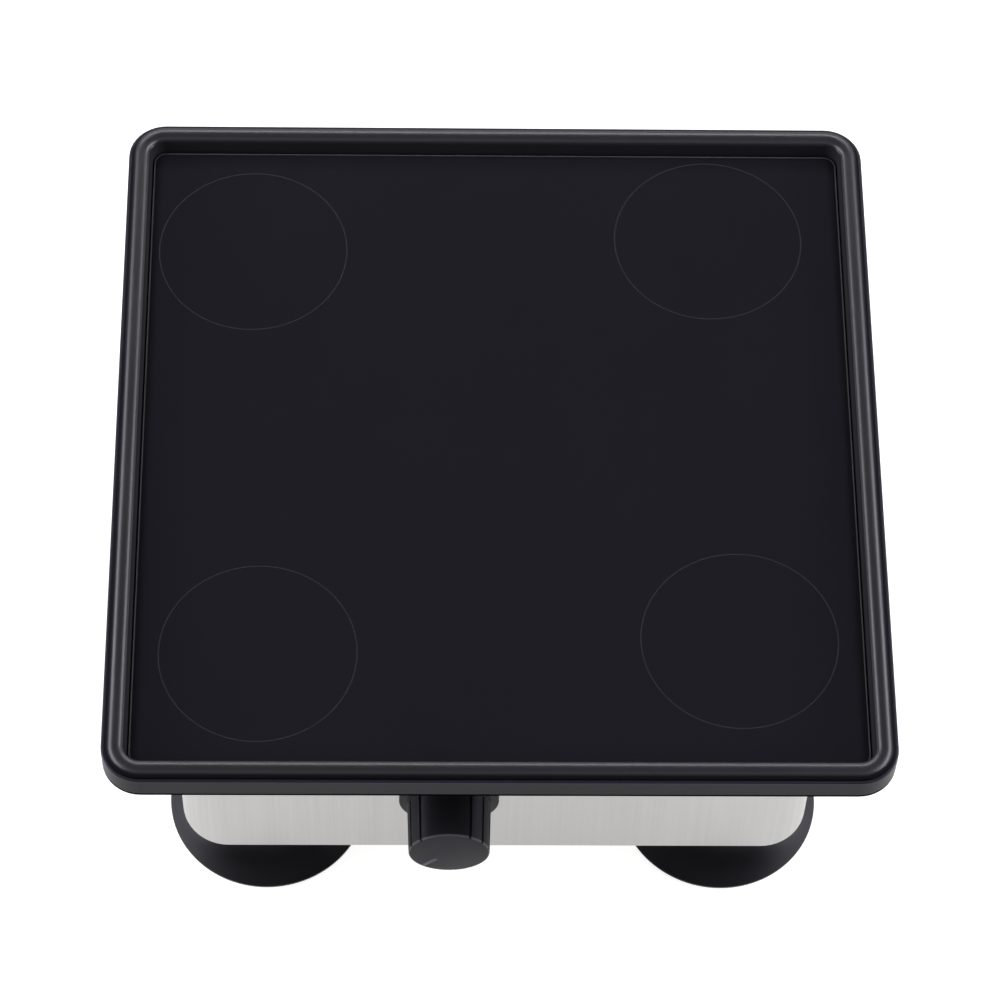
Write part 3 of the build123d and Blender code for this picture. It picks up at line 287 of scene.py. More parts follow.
def makeFineGrain():
    # fine moulded or sprayed grain, as a height and a roughness
    group, start, end = newGroup(
        "fineGrain",
        [
            ("Vector", "NodeSocketVector", None),
            ("Scale", "NodeSocketFloat", 2500.0),
            ("Rough Low", "NodeSocketFloat", 0.4),
            ("Rough High", "NodeSocketFloat", 0.5),
        ],
        [("Height", "NodeSocketFloat"), ("Roughness", "NodeSocketFloat")],
    )
    grain = noiseNode(group, start.outputs["Vector"], start.outputs["Scale"], 3)
    broad = mathNode(group, "MULTIPLY", start.outputs["Scale"], 0.02)  # patches fifty grains wide
    patch = noiseNode(group, start.outputs["Vector"], broad, 4)
    rough = rangeNode(group, patch, *noiseSpan, start.outputs["Rough Low"], start.outputs["Rough High"])
    group.links.new(grain, end.inputs["Height"])
    group.links.new(rough, end.inputs["Roughness"])
    return group


def makeBrushLines():
    # fine straight scratches, drawn out along one axis by the stretch
    group, start, end = newGroup(
        "brushLines",
        [("Vector", "NodeSocketVector", None), ("Stretch", "NodeSocketVector", (1400.0, 1400.0, 9.0))],
        [("Height", "NodeSocketFloat"), ("Tone", "NodeSocketFloat")],
    )
    drawn = group.nodes.new("ShaderNodeVectorMath")
    drawn.operation = "MULTIPLY"
    group.links.new(start.outputs["Vector"], drawn.inputs[0])
    group.links.new(start.outputs["Stretch"], drawn.inputs[1])
    lines = noiseNode(group, drawn.outputs[0], 1.0, 2, 0.6)
    wide = group.nodes.new("ShaderNodeVectorMath")
    wide.operation = "SCALE"
    wide.inputs["Scale"].default_value = 0.17  # bands six times as wide as the scratches
    group.links.new(drawn.outputs[0], wide.inputs[0])
    bands = noiseNode(group, wide.outputs[0], 1.0, 3)
    fromLines = mathNode(group, "MULTIPLY", lines, 0.6)
    fromBands = mathNode(group, "MULTIPLY", bands, 0.4)
    group.links.new(lines, end.inputs["Height"])
    group.links.new(mathNode(group, "ADD", fromLines, fromBands), end.inputs["Tone"])
    return group


tintDrift = makeTintDrift()
fineGrain = makeFineGrain()
brushLines = makeBrushLines()


def placeGroup(tree, group, **values):
    node = tree.nodes.new("ShaderNodeGroup")
    node.node_tree = group
    for label, value in values.items():
        socket = node.inputs[label.replace("_", " ")]
        if isinstance(value, bpy.types.NodeSocket):
            tree.links.new(value, socket)
        else:
            socket.default_value = value
    return node


def startMaterial(name, **settings):
    # a material with its shader, its coordinates and fixed values set on the shader's own sockets
    material = bpy.data.materials.new(name)
    material.use_nodes = True
    tree = material.node_tree
    shader = tree.nodes["Principled BSDF"]
    for label, value in settings.items():
        shader.inputs[label.replace("_", " ")].default_value = value
    coordinates = tree.nodes.new("ShaderNodeTexCoord")
    return material, tree, shader, coordinates.outputs["Object"]


def addBump(tree, shader, height, strength, distance):
    bump = tree.nodes.new("ShaderNodeBump")
    bump.inputs["Strength"].default_value = strength
    bump.inputs["Distance"].default_value = distance
    tree.links.new(height, bump.inputs["Height"])
    tree.links.new(bump.outputs["Normal"], shader.inputs["Normal"])


def addTint(tree, shader, place, shade, amount, scale):
    # base colour that drifts a little over the surface
    tint = placeGroup(tree, tintDrift, Vector=place, Color=shade, Amount=amount, Scale=scale)
    tree.links.new(tint.outputs["Color"], shader.inputs["Base Color"])


def addGrain(tree, shader, place, grain, rough):
    # uneven gloss; the grain's height comes back for the bump
    texture = placeGroup(tree, fineGrain, Vector=place, Scale=grain, Rough_Low=rough[0], Rough_High=rough[1])
    tree.links.new(texture.outputs["Roughness"], shader.inputs["Roughness"])
    return texture.outputs["Height"]


def blendColors(tree, mask, first, second):
    # first colour where the mask is 0, second where it is 1; either may come from another node
    mix = tree.nodes.new("ShaderNodeMix")
    mix.data_type = "RGBA"
    for label, color in (("A", first), ("B", second)):
        if isinstance(color, tuple):
            mix.inputs[label].default_value = color
        else:
            tree.links.new(color, mix.inputs[label])
    tree.links.new(mask, mix.inputs["Factor"])
    return mix.outputs["Result"]


def slantSheen(tree, shader, face, slant):
    # waxy rubber shines more where it is seen along its slope; facing is 0 seen straight on
    weight = tree.nodes.new("ShaderNodeLayerWeight")
    level = rangeNode(tree, weight.outputs["Facing"], 0.05, 0.25, face, slant)
    tree.links.new(level, shader.inputs["Specular IOR Level"])


def grainedFinish(name, color, rough, grain, bump, drift=0.08, driftScale=45.0, sheen=None, **settings):
    # moulded plastic, rubber, enamel or plating: drifting tint, uneven gloss and a fine grain
    material, tree, shader, place = startMaterial(name, **settings)
    if sheen:
        slantSheen(tree, shader, *sheen)
    addTint(tree, shader, place, (*color, 1), drift, driftScale)
    addBump(tree, shader, addGrain(tree, shader, place, grain, rough), bump, grainDepth)
    return material


def brushedFinish(name, color, rough, stretch, bump, contrast=0.08, **settings):
    # brushed metal: the scratches set both the gloss and the tone
    material, tree, shader, place = startMaterial(name, **{"Metallic": 1.0, **settings})
    lines = placeGroup(tree, brushLines, Vector=place, Stretch=stretch)
    tone = rangeNode(tree, lines.outputs["Tone"], *toneSpan, 1 - contrast, 1 + contrast)
    scaled = tree.nodes.new("ShaderNodeVectorMath")
    scaled.operation = "SCALE"
    scaled.inputs[0].default_value = color
    tree.links.new(tone, scaled.inputs["Scale"])
    tree.links.new(scaled.outputs[0], shader.inputs["Base Color"])
    gloss = rangeNode(tree, lines.outputs["Tone"], *toneSpan, rough[1], rough[0])
    tree.links.new(gloss, shader.inputs["Roughness"])
    addBump(tree, shader, lines.outputs["Height"], bump, scratchDepth)
    return material


def bandedFinish(name, color, dark, step, axis, rough, bump, metallic):
    # fine even bands across a surface, such as stacked sheets or turns of wire
    material, tree, shader, place = startMaterial(name, Metallic=metallic)
    wave = tree.nodes.new("ShaderNodeTexWave")
    wave.bands_direction = axis
    wave.inputs["Scale"].default_value = 0.314 / step  # a tenth of pi gives one band to each step
    wave.inputs["Distortion"].default_value = 0.35
    wave.inputs["Detail"].default_value = 1.0
    tree.links.new(place, wave.inputs["Vector"])
    shade = blendColors(tree, wave.outputs["Fac"], (*dark, 1), (*color, 1))
    tree.links.new(shade, shader.inputs["Base Color"])
    addGrain(tree, shader, place, 1500.0, rough)
    addBump(tree, shader, wave.outputs["Fac"], bump, step * 0.3)
    return material


def bandMask(tree, value, rise, full, fall, gone):
    # 1 between full and fall, with soft ends at rise and gone
    rising = rangeNode(tree, value, rise, full, 0.0, 1.0)
    falling = rangeNode(tree, value, fall, gone, 1.0, 0.0)
    return mathNode(tree, "MINIMUM", rising, falling)


def splitPlace(tree, place):
    # a point's coordinates, each under its letter
    split = tree.nodes.new("ShaderNodeSeparateXYZ")
    tree.links.new(place, split.inputs[0])
    return split.outputs


def pastOffset(tree, place, offset):
    # how far a point lies past an offset on either side, along X and along Y
    parts = splitPlace(tree, place)
    reaches = [mathNode(tree, "ABSOLUTE", parts[axis]) for axis in "XY"]
    return [mathNode(tree, "SUBTRACT", reach, offset) for reach in reaches]


def flatDistance(tree, sides):
    # the straight distance that two sides at a right angle make
    squares = [mathNode(tree, "MULTIPLY", side, side) for side in sides]
    return mathNode(tree, "SQRT", mathNode(tree, "ADD", squares[0], squares[1]))


def edgeDistance(tree, place, halfWidth, corner):
    # how far inside the table's round-cornered edge a point lies, in metres
    sides = pastOffset(tree, place, halfWidth - corner)
    rounded = flatDistance(tree, [mathNode(tree, "MAXIMUM", side, 0.0) for side in sides])
    straight = mathNode(tree, "MINIMUM", mathNode(tree, "MAXIMUM", sides[0], sides[1]), 0.0)
    return mathNode(tree, "SUBTRACT", corner, mathNode(tree, "ADD", rounded, straight))


def ringDistance(tree, place, shape):
    # how far a point lies from the nearest of the four ring lines, in metres
    mapping = tree.nodes.new("ShaderNodeMapping")
    mapping.vector_type = "TEXTURE"
    mapping.inputs["Location"].default_value = (*shape["ringShift"], 0)
    mapping.inputs["Rotation"].default_value = (0, 0, math.radians(shape["ringTurn"]))
    tree.links.new(place, mapping.inputs["Vector"])
    away = flatDistance(tree, pastOffset(tree, mapping.outputs[0], shape["ringPitch"] / 2))
    return mathNode(tree, "ABSOLUTE", mathNode(tree, "SUBTRACT", away, shape["ringRadius"]))


# Sizes of mat and knob in metres, which their finishes need too

matShape = {
    "width": 0.240,
    "corner": 0.0110,
    "cornerSteps": 14,
    "skin": 0.00004,
    "beadFoot": 0.0010,
    "beadHalf": 0.00305,
    "beadHeight": 0.00181,
    "beadSteps": 28,
    "rimTop": 0.1065,
    "padTop": 0.1022,
    "floorTop": 0.0999,
    "padInset": 0.0076,
    "bodyInset": 0.0057,
    "slopeSteps": ((0.35, 0.30), (0.35, 0.40), (0.30, 0.30)),  # shares of the slope's width and drop
    "grooveDepth": 0.0012,
    "grooveWidth": 0.00035,
    "grooveDraft": 0.00003,
    "padEdge": 0.00045,
    "ringRadius": 0.0303,
    "ringPitch": 0.1476,
    "ringTurn": 1.9,
    "ringShift": (-0.0025, 0.0024),
    "ringWire": 0.0002,
    "ringLift": 0.00009,
}

knobShape = {
    "axis": (-0.015, -0.1, 0.0569),
    "gap": 0.0006,
    "skirtRadius": 0.0156,
    "skirtFront": 0.0020,
    "skirtEdge": 0.00025,
    "rootRadius": 0.0131,
    "rootSteps": ((0.00018, 0.00006), (0.00012, 0.00022)),  # inward and forward, fillet on the skirt
    "faceRadius": 0.0126,
    "faceSteps": ((0.00005, 0.00022), (0.00011, 0.0002), (0.0002, 0.00013), (0.00026, 0.00005)),
    "reach": 0.0198,
    "pocketRadius": 0.0087,
    "pocketDepth": 0.0056,
    "fluteRadius": 0.00045,
    "fluteStart": 0.0042,
    "fluteSink": 0.0001,
    "fluteClocks": [group + step for group in (54.6, 173.2, -68.4) for step in (-23.7, 0, 23.7)],
    "pointerClock": -137,
    "pointerInner": 0.00565,
    "pointerOuter": 0.012,
    "pointerWidth": 0.0016,
    "pointerDepth": 0.0004,
    "pointerRound": 0.42,  # of its width
    "pointerPlay": 0.00004,
    "pointerEdge": 0.00006,
    "cutOver": 0.0008,
    "softEdge": 0.00012,
}


# Finishes whose tone and gloss change over the piece

matLook = {
    "shade": (0.0100, 0.0096, 0.0120, 1),
    # painted light: the slope down to the pad is lighter than the bead, lifting the shade that falls there
    "slopePaintedLight": (0.026, 0.025, 0.031, 1),
    "padShade": (0.0112, 0.0106, 0.0146, 1),
    # painted highlight: a pale line along the pad's cut edge, where light would catch it
    "padEdgePaintedHighlight": (0.105, 0.102, 0.120, 1),
    # painted light: the ring lines are lighter, lifting the shade in their pressed grooves
    "ringPaintedLight": (0.036, 0.034, 0.044, 1),
    "beadSpecular": 0.66,
    "beadBand": (-0.74, -0.48, 0.80, 0.98),  # from the bead's middle, in its half widths
    "slopeStart": 0.95,  # the same
    "slopeFade": 0.0002,
    "padFade": (0.0001, 0.0004),  # inward from the pad's inset
    "padEdgeBand": (0.00036, 0.00042, 0.00080, 0.00095),  # the same
    "ringFade": (0.00010, 0.00026),  # away from a ring line
    "rough": (0.29, 0.60),  # bead, pad
    "grain": (0.15, 1.0),  # bead, pad
    "bump": 0.35,
    "bumpDepth": 0.00006,
}
enamelLook = {
    "shade": (0.0076, 0.0071, 0.0110, 1),
    # painted shade: a darker band along the foot of the tray's wall
    "footPaintedShade": (0.0050, 0.0048, 0.0066, 1),
    "wallFoot": 0.0978,
    "footFade": (0.0009, 0.0012),  # above the wall's foot
    "rimFade": (0.0006, 0.0004),  # below the rim's top
    "specular": (0.085, 0.45),  # wall, rim
    "rough": (0.34, 0.40),
    "grain": 900.0,
    "bump": 0.2,
}
knobLook = {
    "shade": (0.0225, 0.0218, 0.0268, 1),
    # painted highlight: a paler line round the edge of the knob's face, where light catches it
    "paintedHighlightShade": (0.135, 0.132, 0.145, 1),
    "highlightWidth": 0.0005,  # width of the painted highlight on the edge, inward and backward
    "highlightFade": (0.0001, 0.0002),
    "specular": 0.09,
    "rough": (0.38, 0.46),
    "grain": 2200.0,
    "bump": 0.25,
}


def makeMatRubber(shape, look):
    # the bead is smooth and black, the pad inside it matt and a little lighter;
    # a painted highlight lightens the pad's cut edge, and painted light lifts the shade on its ring lines and
    # on the slope
    material, tree, shader, place = startMaterial("matRubber", Specular_Tint=(0.90, 0.88, 1.0, 1))
    inside = edgeDistance(tree, place, shape["width"] / 2, shape["corner"] + shape["beadFoot"])
    half, pad = shape["beadHalf"], shape["padInset"]
    centre = shape["beadFoot"] + half
    onBead = bandMask(tree, inside, *[centre + step * half for step in look["beadBand"]])
    onPad = rangeNode(tree, inside, *[pad + step for step in look["padFade"]], 0.0, 1.0)
    # painted highlight along the pad's cut edge
    onEdge = bandMask(tree, inside, *[pad + step for step in look["padEdgeBand"]])
    # painted light on the ring lines, over the shade of their grooves
    onLine = rangeNode(tree, ringDistance(tree, place, shape), *look["ringFade"], 1.0, 0.0)
    onRing = mathNode(tree, "MULTIPLY", onLine, onPad)
    # painted light on the slope, over the shade the bead casts into it
    slopeStart = centre + look["slopeStart"] * half
    onSlope = bandMask(tree, inside, slopeStart, centre + half, pad - look["slopeFade"], pad)
    specular = rangeNode(tree, onBead, 0.0, 1.0, 0.0, look["beadSpecular"])
    tree.links.new(specular, shader.inputs["Specular IOR Level"])
    shade = look["shade"]
    masks = {"slopePaintedLight": onSlope, "padShade": onPad, "padEdgePaintedHighlight": onEdge, "ringPaintedLight": onRing}
    for label, mask in masks.items():
        shade = blendColors(tree, mask, shade, look[label])
    addTint(tree, shader, place, shade, 0.03, 22.0)
    texture = placeGroup(tree, fineGrain, Vector=place, Scale=1800.0, Rough_Low=0.0, Rough_High=0.03)
    base = rangeNode(tree, onPad, 0.0, 1.0, *look["rough"])
    tree.links.new(mathNode(tree, "ADD", base, texture.outputs["Roughness"]), shader.inputs["Roughness"])
    amount = rangeNode(tree, onPad, 0.0, 1.0, *look["grain"])
    height = mathNode(tree, "MULTIPLY", texture.outputs["Height"], amount)
    addBump(tree, shader, height, look["bump"], look["bumpDepth"])
    return material


def makeTrayEnamel(rimTop, look):
    # sprayed enamel that shines on the rim's rounded edge; along the wall's foot a darker band without gloss
    # is painted shade, a shadow line under the tray
    material, tree, shader, place = startMaterial("blackEnamel", Specular_Tint=(0.74, 0.71, 1.0, 1))
    height = splitPlace(tree, place)["Z"]
    onRim = rangeNode(tree, height, *[rimTop - step for step in look["rimFade"]], 0.0, 1.0)
    # painted shade: darker and without gloss along the wall's foot
    onFoot = rangeNode(tree, height, *[look["wallFoot"] + step for step in look["footFade"]], 1.0, 0.0)
    onWall = mathNode(tree, "SUBTRACT", 1.0, onFoot)
    specular = mathNode(tree, "MULTIPLY", rangeNode(tree, onRim, 0.0, 1.0, *look["specular"]), onWall)
    tree.links.new(specular, shader.inputs["Specular IOR Level"])
    shade = blendColors(tree, onFoot, look["shade"], look["footPaintedShade"])
    addTint(tree, shader, place, shade, 0.05, 45.0)
    grain = addGrain(tree, shader, place, look["grain"], look["rough"])
    addBump(tree, shader, grain, look["bump"], grainDepth)
    return material


def makeKnobPlastic(shape, look):
    # moulded plastic, with a painted highlight: paler on the edge round the knob's face
    material, tree, shader, place = startMaterial(
        "knobPlastic", Specular_IOR_Level=look["specular"], Specular_Tint=(0.74, 0.71, 1.0, 1)
    )
    x, y, z = shape["axis"]
    parts = splitPlace(tree, place)
    sides = [mathNode(tree, "SUBTRACT", parts[axis], middle) for axis, middle in (("X", x), ("Z", z))]
    edge = shape["faceRadius"] - look["highlightWidth"]
    front = y - shape["reach"] + look["highlightWidth"]
    outer = rangeNode(tree, flatDistance(tree, sides), edge, edge + look["highlightFade"][0], 0.0, 1.0)
    foremost = rangeNode(tree, parts["Y"], front, front + look["highlightFade"][1], 1.0, 0.0)
    # painted highlight round the face's edge
    paintedHighlight = mathNode(tree, "MULTIPLY", outer, foremost)
    shade = blendColors(tree, paintedHighlight, look["shade"], look["paintedHighlightShade"])
    addTint(tree, shader, place, shade, 0.08, 90.0)
    grain = addGrain(tree, shader, place, look["grain"], look["rough"])
    addBump(tree, shader, grain, look["bump"], grainDepth)
    return material


def makeFuseGlass():
    material, tree, shader, place = startMaterial(
        "fuseGlass", Transmission_Weight=0.9, Roughness=0.05, IOR=1.5
    )
    addTint(tree, shader, place, (0.86, 0.92, 0.92, 1), 0.04, 200.0)
    return material


finishes = {
    "black_enamel": makeTrayEnamel(matShape["rimTop"], enamelLook),
    "mat_rubber": makeMatRubber(matShape, matLook),
    "brushed_casing": brushedFinish(
        "brushedCasing", (0.466, 0.460, 0.452), (0.34, 0.42), stretch=(2600.0, 2600.0, 14.0), bump=0.09,
        contrast=0.022, Metallic=0.92, Anisotropic=0.3,
    ),
    "plated_sheet": brushedFinish(
        "platedSheet", (0.60, 0.60, 0.56), (0.28, 0.42), stretch=(40.0, 900.0, 40.0), bump=0.2
    ),
    "plated_fastener": grainedFinish(
        "platedFastener", (0.58, 0.57, 0.52), (0.22, 0.34), grain=2600.0, bump=0.15,
        drift=0.12, driftScale=300.0, Metallic=1.0,
    ),
    "foot_rubber": grainedFinish(
        "footRubber", (0.0062, 0.0059, 0.0080), (0.36, 0.44), grain=1600.0, bump=0.25,
        drift=0.08, driftScale=60.0, sheen=(0.22, 0.62), Specular_Tint=(0.88, 0.88, 1.0, 1),
    ),
    "buffer_rubber": grainedFinish(
        "bufferRubber", (0.014, 0.014, 0.014), (0.5, 0.62), grain=1600.0, bump=0.5,
        drift=0.15, driftScale=80.0, Specular_IOR_Level=0.25,
    ),
    "core_iron": bandedFinish(
        "coreIron", (0.22, 0.22, 0.23), (0.09, 0.09, 0.1), step=0.0005, axis="Y", rough=(0.42, 0.6),
        bump=0.6, metallic=1.0,
    ),
    "bobbin_plastic": grainedFinish(
        "bobbinPlastic", (0.70, 0.64, 0.48), (0.42, 0.52), grain=1800.0, bump=0.3
    ),
    "winding_wire": bandedFinish(
        "windingWire", (0.62, 0.26, 0.09), (0.22, 0.08, 0.03), step=0.0006, axis="Z", rough=(0.25, 0.4),
        bump=0.8, metallic=0.6,
    ),
    "knob_plastic": makeKnobPlastic(knobShape, knobLook),
    "pointer_inlay": grainedFinish(
        "pointerInlay", (0.105, 0.135, 0.19), (0.4, 0.5), grain=2400.0, bump=0.2, Specular_IOR_Level=0.2
    ),
    "pot_body": brushedFinish(
        "potBody", (0.62, 0.62, 0.60), (0.25, 0.4), stretch=(30.0, 700.0, 30.0), bump=0.15
    ),
    "gland_plastic": grainedFinish(
        "glandPlastic", (0.020, 0.020, 0.021), (0.42, 0.55), grain=1500.0, bump=0.45
    ),
    "fuse_plastic": grainedFinish(
        "fusePlastic", (0.018, 0.018, 0.018), (0.28, 0.38), grain=1800.0, bump=0.25
    ),
    "board_laminate": grainedFinish(
        "boardLaminate", (0.03, 0.16, 0.06), (0.25, 0.4), grain=900.0, bump=0.3, drift=0.3, driftScale=260.0
    ),
    "sink_metal": brushedFinish(
        "sinkMetal", (0.11, 0.11, 0.12), (0.4, 0.5), stretch=(30.0, 30.0, 900.0), bump=0.3
    ),
    "triac_case": grainedFinish("triacCase", (0.02, 0.02, 0.02), (0.3, 0.4), grain=2400.0, bump=0.3),
    "capacitor_case": grainedFinish("capacitorCase", (0.45, 0.09, 0.04), (0.16, 0.26), grain=700.0, bump=0.3),
    "choke_wire": bandedFinish(
        "chokeWire", (0.66, 0.3, 0.1), (0.2, 0.08, 0.03), step=0.0011, axis="X", rough=(0.22, 0.36),
        bump=0.9, metallic=0.6,
    ),
    "strip_plastic": grainedFinish("stripPlastic", (0.03, 0.19, 0.24), (0.32, 0.42), grain=1700.0, bump=0.3),
    "block_plastic": grainedFinish("blockPlastic", (0.72, 0.72, 0.66), (0.3, 0.4), grain=1700.0, bump=0.3),
    "lead_jacket": grainedFinish("leadJacket", (0.26, 0.03, 0.03), (0.36, 0.46), grain=2400.0, bump=0.2),
    "earth_jacket": grainedFinish("earthJacket", (0.22, 0.36, 0.03), (0.36, 0.46), grain=2400.0, bump=0.2),
    "tab_brass": grainedFinish(
        "tabBrass", (0.66, 0.55, 0.32), (0.25, 0.38), grain=2400.0, bump=0.2, Metallic=1.0
    ),
    "fuse_glass": makeFuseGlass(),
}
for entry in frame["record"]["subparts"]:
    paint(frame["nodes"][entry["node"]], finishes[entry["material_slot"]])
print("stage: finishes made,", len(finishes))


def takeOver(obj, slotName, body, *nodes):
    # the new piece rides on its body in place of its CAD solids
    paint(obj, finishes[slotName])
    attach(obj, body)
    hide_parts(*nodes)


# Rubber mat made

def makeMat(shape):
    clearSelection()
    width = shape["width"] - 2 * shape["beadFoot"]
    bpy.ops.mesh.primitive_plane_add(size=width, location=(0, 0, shape["rimTop"]))
    mat = named("rubberMat")
    settle(mat)
    bpy.ops.object.mode_set(mode="EDIT")
    bpy.ops.mesh.select_mode(type="VERT")
    bpy.ops.mesh.select_all(action="SELECT")
    bpy.ops.mesh.bevel(offset=shape["corner"], segments=shape["cornerSteps"], affect="VERTICES")
    bpy.ops.mesh.select_all(action="SELECT")
    bpy.ops.mesh.extrude_region_move(TRANSFORM_OT_translate={"value": (0, 0, shape["skin"])})
    bpy.ops.mesh.select_all(action="SELECT")
    bpy.ops.mesh.normals_make_consistent(inside=False)
    # under side: the bead's overhang, then down to the tray's floor
    pickFaces(mat, lambda spot, facing: facing.z < -0.9)
    insetSteps([(shape["bodyInset"] - shape["beadFoot"], 0), (hair, shape["rimTop"] - shape["floorTop"])])
    # upper side: over the rounded bead and down its inner slope
    pickFaces(mat, lambda spot, facing: facing.z > 0.9 and spot.z > shape["rimTop"])
    arc = arcPoints((0, 0), 1, 180, 0, shape["beadSteps"])
    bead = [(shape["beadHalf"] * x, shape["beadHeight"] * z) for x, z in arc]
    insetSteps([(end[0] - start[0], end[1] - start[1]) for start, end in zip(bead, bead[1:])])
    slopeWidth = shape["padInset"] - shape["beadFoot"] - 2 * shape["beadHalf"] - hair
    drop = shape["rimTop"] - shape["padTop"] + shape["grooveDepth"]
    insetSteps([(slopeWidth * across, -drop * down) for across, down in shape["slopeSteps"]])
    # groove round the pad, then the pad's soft edge
    insetSteps([(shape["grooveWidth"], 0), (shape["grooveDraft"], shape["grooveDepth"] - shape["padEdge"])])
    short, long = shape["padEdge"] * 0.3, shape["padEdge"] * 0.7
    insetSteps([(short, long), (long, short)])
    bpy.ops.object.mode_set(mode="OBJECT")
    # four ring lines pressed into the pad
    turn = math.radians(shape["ringTurn"])
    for alongX in (-0.5, 0.5):
        for alongY in (-0.5, 0.5):
            u, v = alongX * shape["ringPitch"], alongY * shape["ringPitch"]
            x = shape["ringShift"][0] + u * math.cos(turn) - v * math.sin(turn)
            y = shape["ringShift"][1] + u * math.sin(turn) + v * math.cos(turn)
            clearSelection()
            bpy.ops.mesh.primitive_torus_add(
                location=(x, y, shape["padTop"] + shape["ringLift"]),
                major_radius=shape["ringRadius"],
                minor_radius=shape["ringWire"],
                major_segments=144,
                minor_segments=10,
            )
            cutter = named("ringCutter")
            settle(cutter)
            carve(mat, cutter)
    outward(mat)
    smoothed(mat, 40)
    return mat


rubberMat = makeMat(matShape)
takeOver(rubberMat, "mat_rubber", "table", "rubber_mat")
print("stage: rubber mat made")


# Control knob: skirt, tapered grip, flutes and pointer recess

def onKnob(shape, radius, clock, forward):
    # a point by its radius, its clock angle seen from the front and its distance in front of the casing
    angle = math.radians(clock)
    x, y, z = shape["axis"]
    return Vector((x + radius * math.sin(angle), y - forward, z + radius * math.cos(angle)))


def addRod(start, end, radius, name):
    clearSelection()
    middle, line = (start + end) / 2, end - start
    bpy.ops.mesh.primitive_cylinder_add(
        vertices=20,
        radius=radius,
        depth=line.length,
        location=middle,
        rotation=line.to_track_quat("Z", "Y").to_euler(),
    )
    rod = named(name)
    settle(rod)
    return rod


def softened(obj, width, degrees):
    # rounds the edges that are sharper than an angle
    applied(obj, "BEVEL", width=width, segments=2, limit_method="ANGLE", angle_limit=math.radians(degrees))
    outward(obj)


def makeKnob(shape):
    x, y, z = shape["axis"]
    clearSelection()
    depth = shape["skirtFront"] - shape["gap"]
    bpy.ops.mesh.primitive_cylinder_add(
        vertices=192,
        radius=shape["skirtRadius"],
        depth=depth,
        location=(x, y - shape["gap"] - depth / 2, z),
        rotation=(math.pi / 2, 0, 0),
    )
    knob = named("controlKnob")
    settle(knob)
    # grip grown from the skirt's front, with a small root fillet and a soft front edge
    pickFaces(knob, lambda spot, facing: facing.y < -0.9)
    length = shape["reach"] - shape["skirtFront"]
    taper = shape["rootRadius"] - shape["faceRadius"]
    rootWidth, rootRise = (sum(part) for part in zip(*shape["rootSteps"]))
    faceRise = sum(rise for width, rise in shape["faceSteps"])
    insetSteps([(shape["skirtRadius"] - shape["rootRadius"] - rootWidth, 0), *shape["rootSteps"]])
    insetSteps([(taper, length - rootRise - faceRise), *shape["faceSteps"]])

    def fromAxis(spot):
        return math.hypot(spot.x - x, spot.z - z)

    def onSkirtRim(a, b):
        farOut = shape["skirtRadius"] - 5 * hair
        return min(fromAxis(a), fromAxis(b)) > farOut and abs(a.y - b.y) < hair

    pickEdges(knob, onSkirtRim)
    bpy.ops.mesh.bevel(offset=shape["skirtEdge"], segments=3, affect="EDGES")
    # pocket behind, over the potentiometer's nut
    pickFaces(knob, lambda spot, facing: facing.y > 0.9 and fromAxis(spot) < shape["pocketRadius"])
    insetSteps([(shape["skirtRadius"] - shape["pocketRadius"], 0), (hair, -shape["pocketDepth"])])
    bpy.ops.object.mode_set(mode="OBJECT")
    draft = taper / length
    for clock in shape["fluteClocks"]:
        ends = []
        for forward in (shape["fluteStart"], shape["reach"] + shape["cutOver"]):
            radius = shape["rootRadius"] - draft * (forward - shape["skirtFront"]) - shape["fluteSink"]
            ends.append(onKnob(shape, radius, clock, forward))
        carve(knob, addRod(*ends, shape["fluteRadius"], "fluteCutter"))
    carve(knob, makePointerBar(shape, "pointerCutter", 0.0, shape["cutOver"]))
    outward(knob)
    softened(knob, shape["softEdge"], 38)
    smoothed(knob, 45)
    return knob


def makePointerBar(shape, name, shrink, proud):
    # a bar with round ends lying along the pointer's radius
    inner, outer = shape["pointerInner"], shape["pointerOuter"]
    width = shape["pointerWidth"] - 2 * shrink
    clearSelection()
    bpy.ops.mesh.primitive_cube_add(size=1)
    bar = named(name)
    bar.scale = (width, outer - inner - 2 * shrink, shape["pointerDepth"] + proud)
    settle(bar)
    pickEdges(bar, lambda a, b: abs(a.z - b.z) > 10 * hair)
    bpy.ops.mesh.bevel(offset=width * shape["pointerRound"], segments=6, affect="EDGES")
    bpy.ops.object.mode_set(mode="OBJECT")
    lift = shape["reach"] - shape["pointerDepth"] + (shape["pointerDepth"] + proud) / 2
    middle = onKnob(shape, (inner + outer) / 2, shape["pointerClock"], lift)
    upright = Matrix.Rotation(math.pi / 2, 4, "X")
    clockTurn = Matrix.Rotation(math.radians(shape["pointerClock"]), 4, "Y")
    bar.matrix_world = Matrix.Translation(middle) @ clockTurn @ upright
    settle(bar)
    return bar


controlKnob = makeKnob(knobShape)
takeOver(controlKnob, "knob_plastic", "knob", "control_knob")
pointerBar = makePointerBar(knobShape, "pointerBar", knobShape["pointerPlay"], 0.0)
softened(pointerBar, knobShape["pointerEdge"], 50)
smoothed(pointerBar)
takeOver(pointerBar, "pointer_inlay", "knob", "knob_pointer")
print("stage: knob made")


# Suction feet: a flared cup with a thin lip and a collar under the casing

footShape = {
    "pitch": 0.1468,
    "height": 0.021,
    "lipRadius": 0.03195,
    "lip": 0.0024,
    "lipHeight": 0.0010,
    "lipSteps": ((-0.0003, 0.0), (-0.00008, 0.0001), (0.0, 0.0004)),  # outward and up
    "shoulder": (0.021, 0.008),
    "neck": (0.016, 0.015),
    "collarSteps": (  # outward from the neck and down from the top
        (0.0, 0.0035),
        (0.0009, 0.0031),
        (0.0011, 0.0026),
        (0.0011, 0.0009),
        (0.0008, 0.0003),
        (0.0002, 0.0),
    ),
    "hollow": 0.006,
}


def copyAt(mould, x, y):
    copy = mould.copy()
    copy.data = mould.data.copy()
    bpy.context.collection.objects.link(copy)
    copy.location = (x, y, 0)
    settle(copy)
    return copy


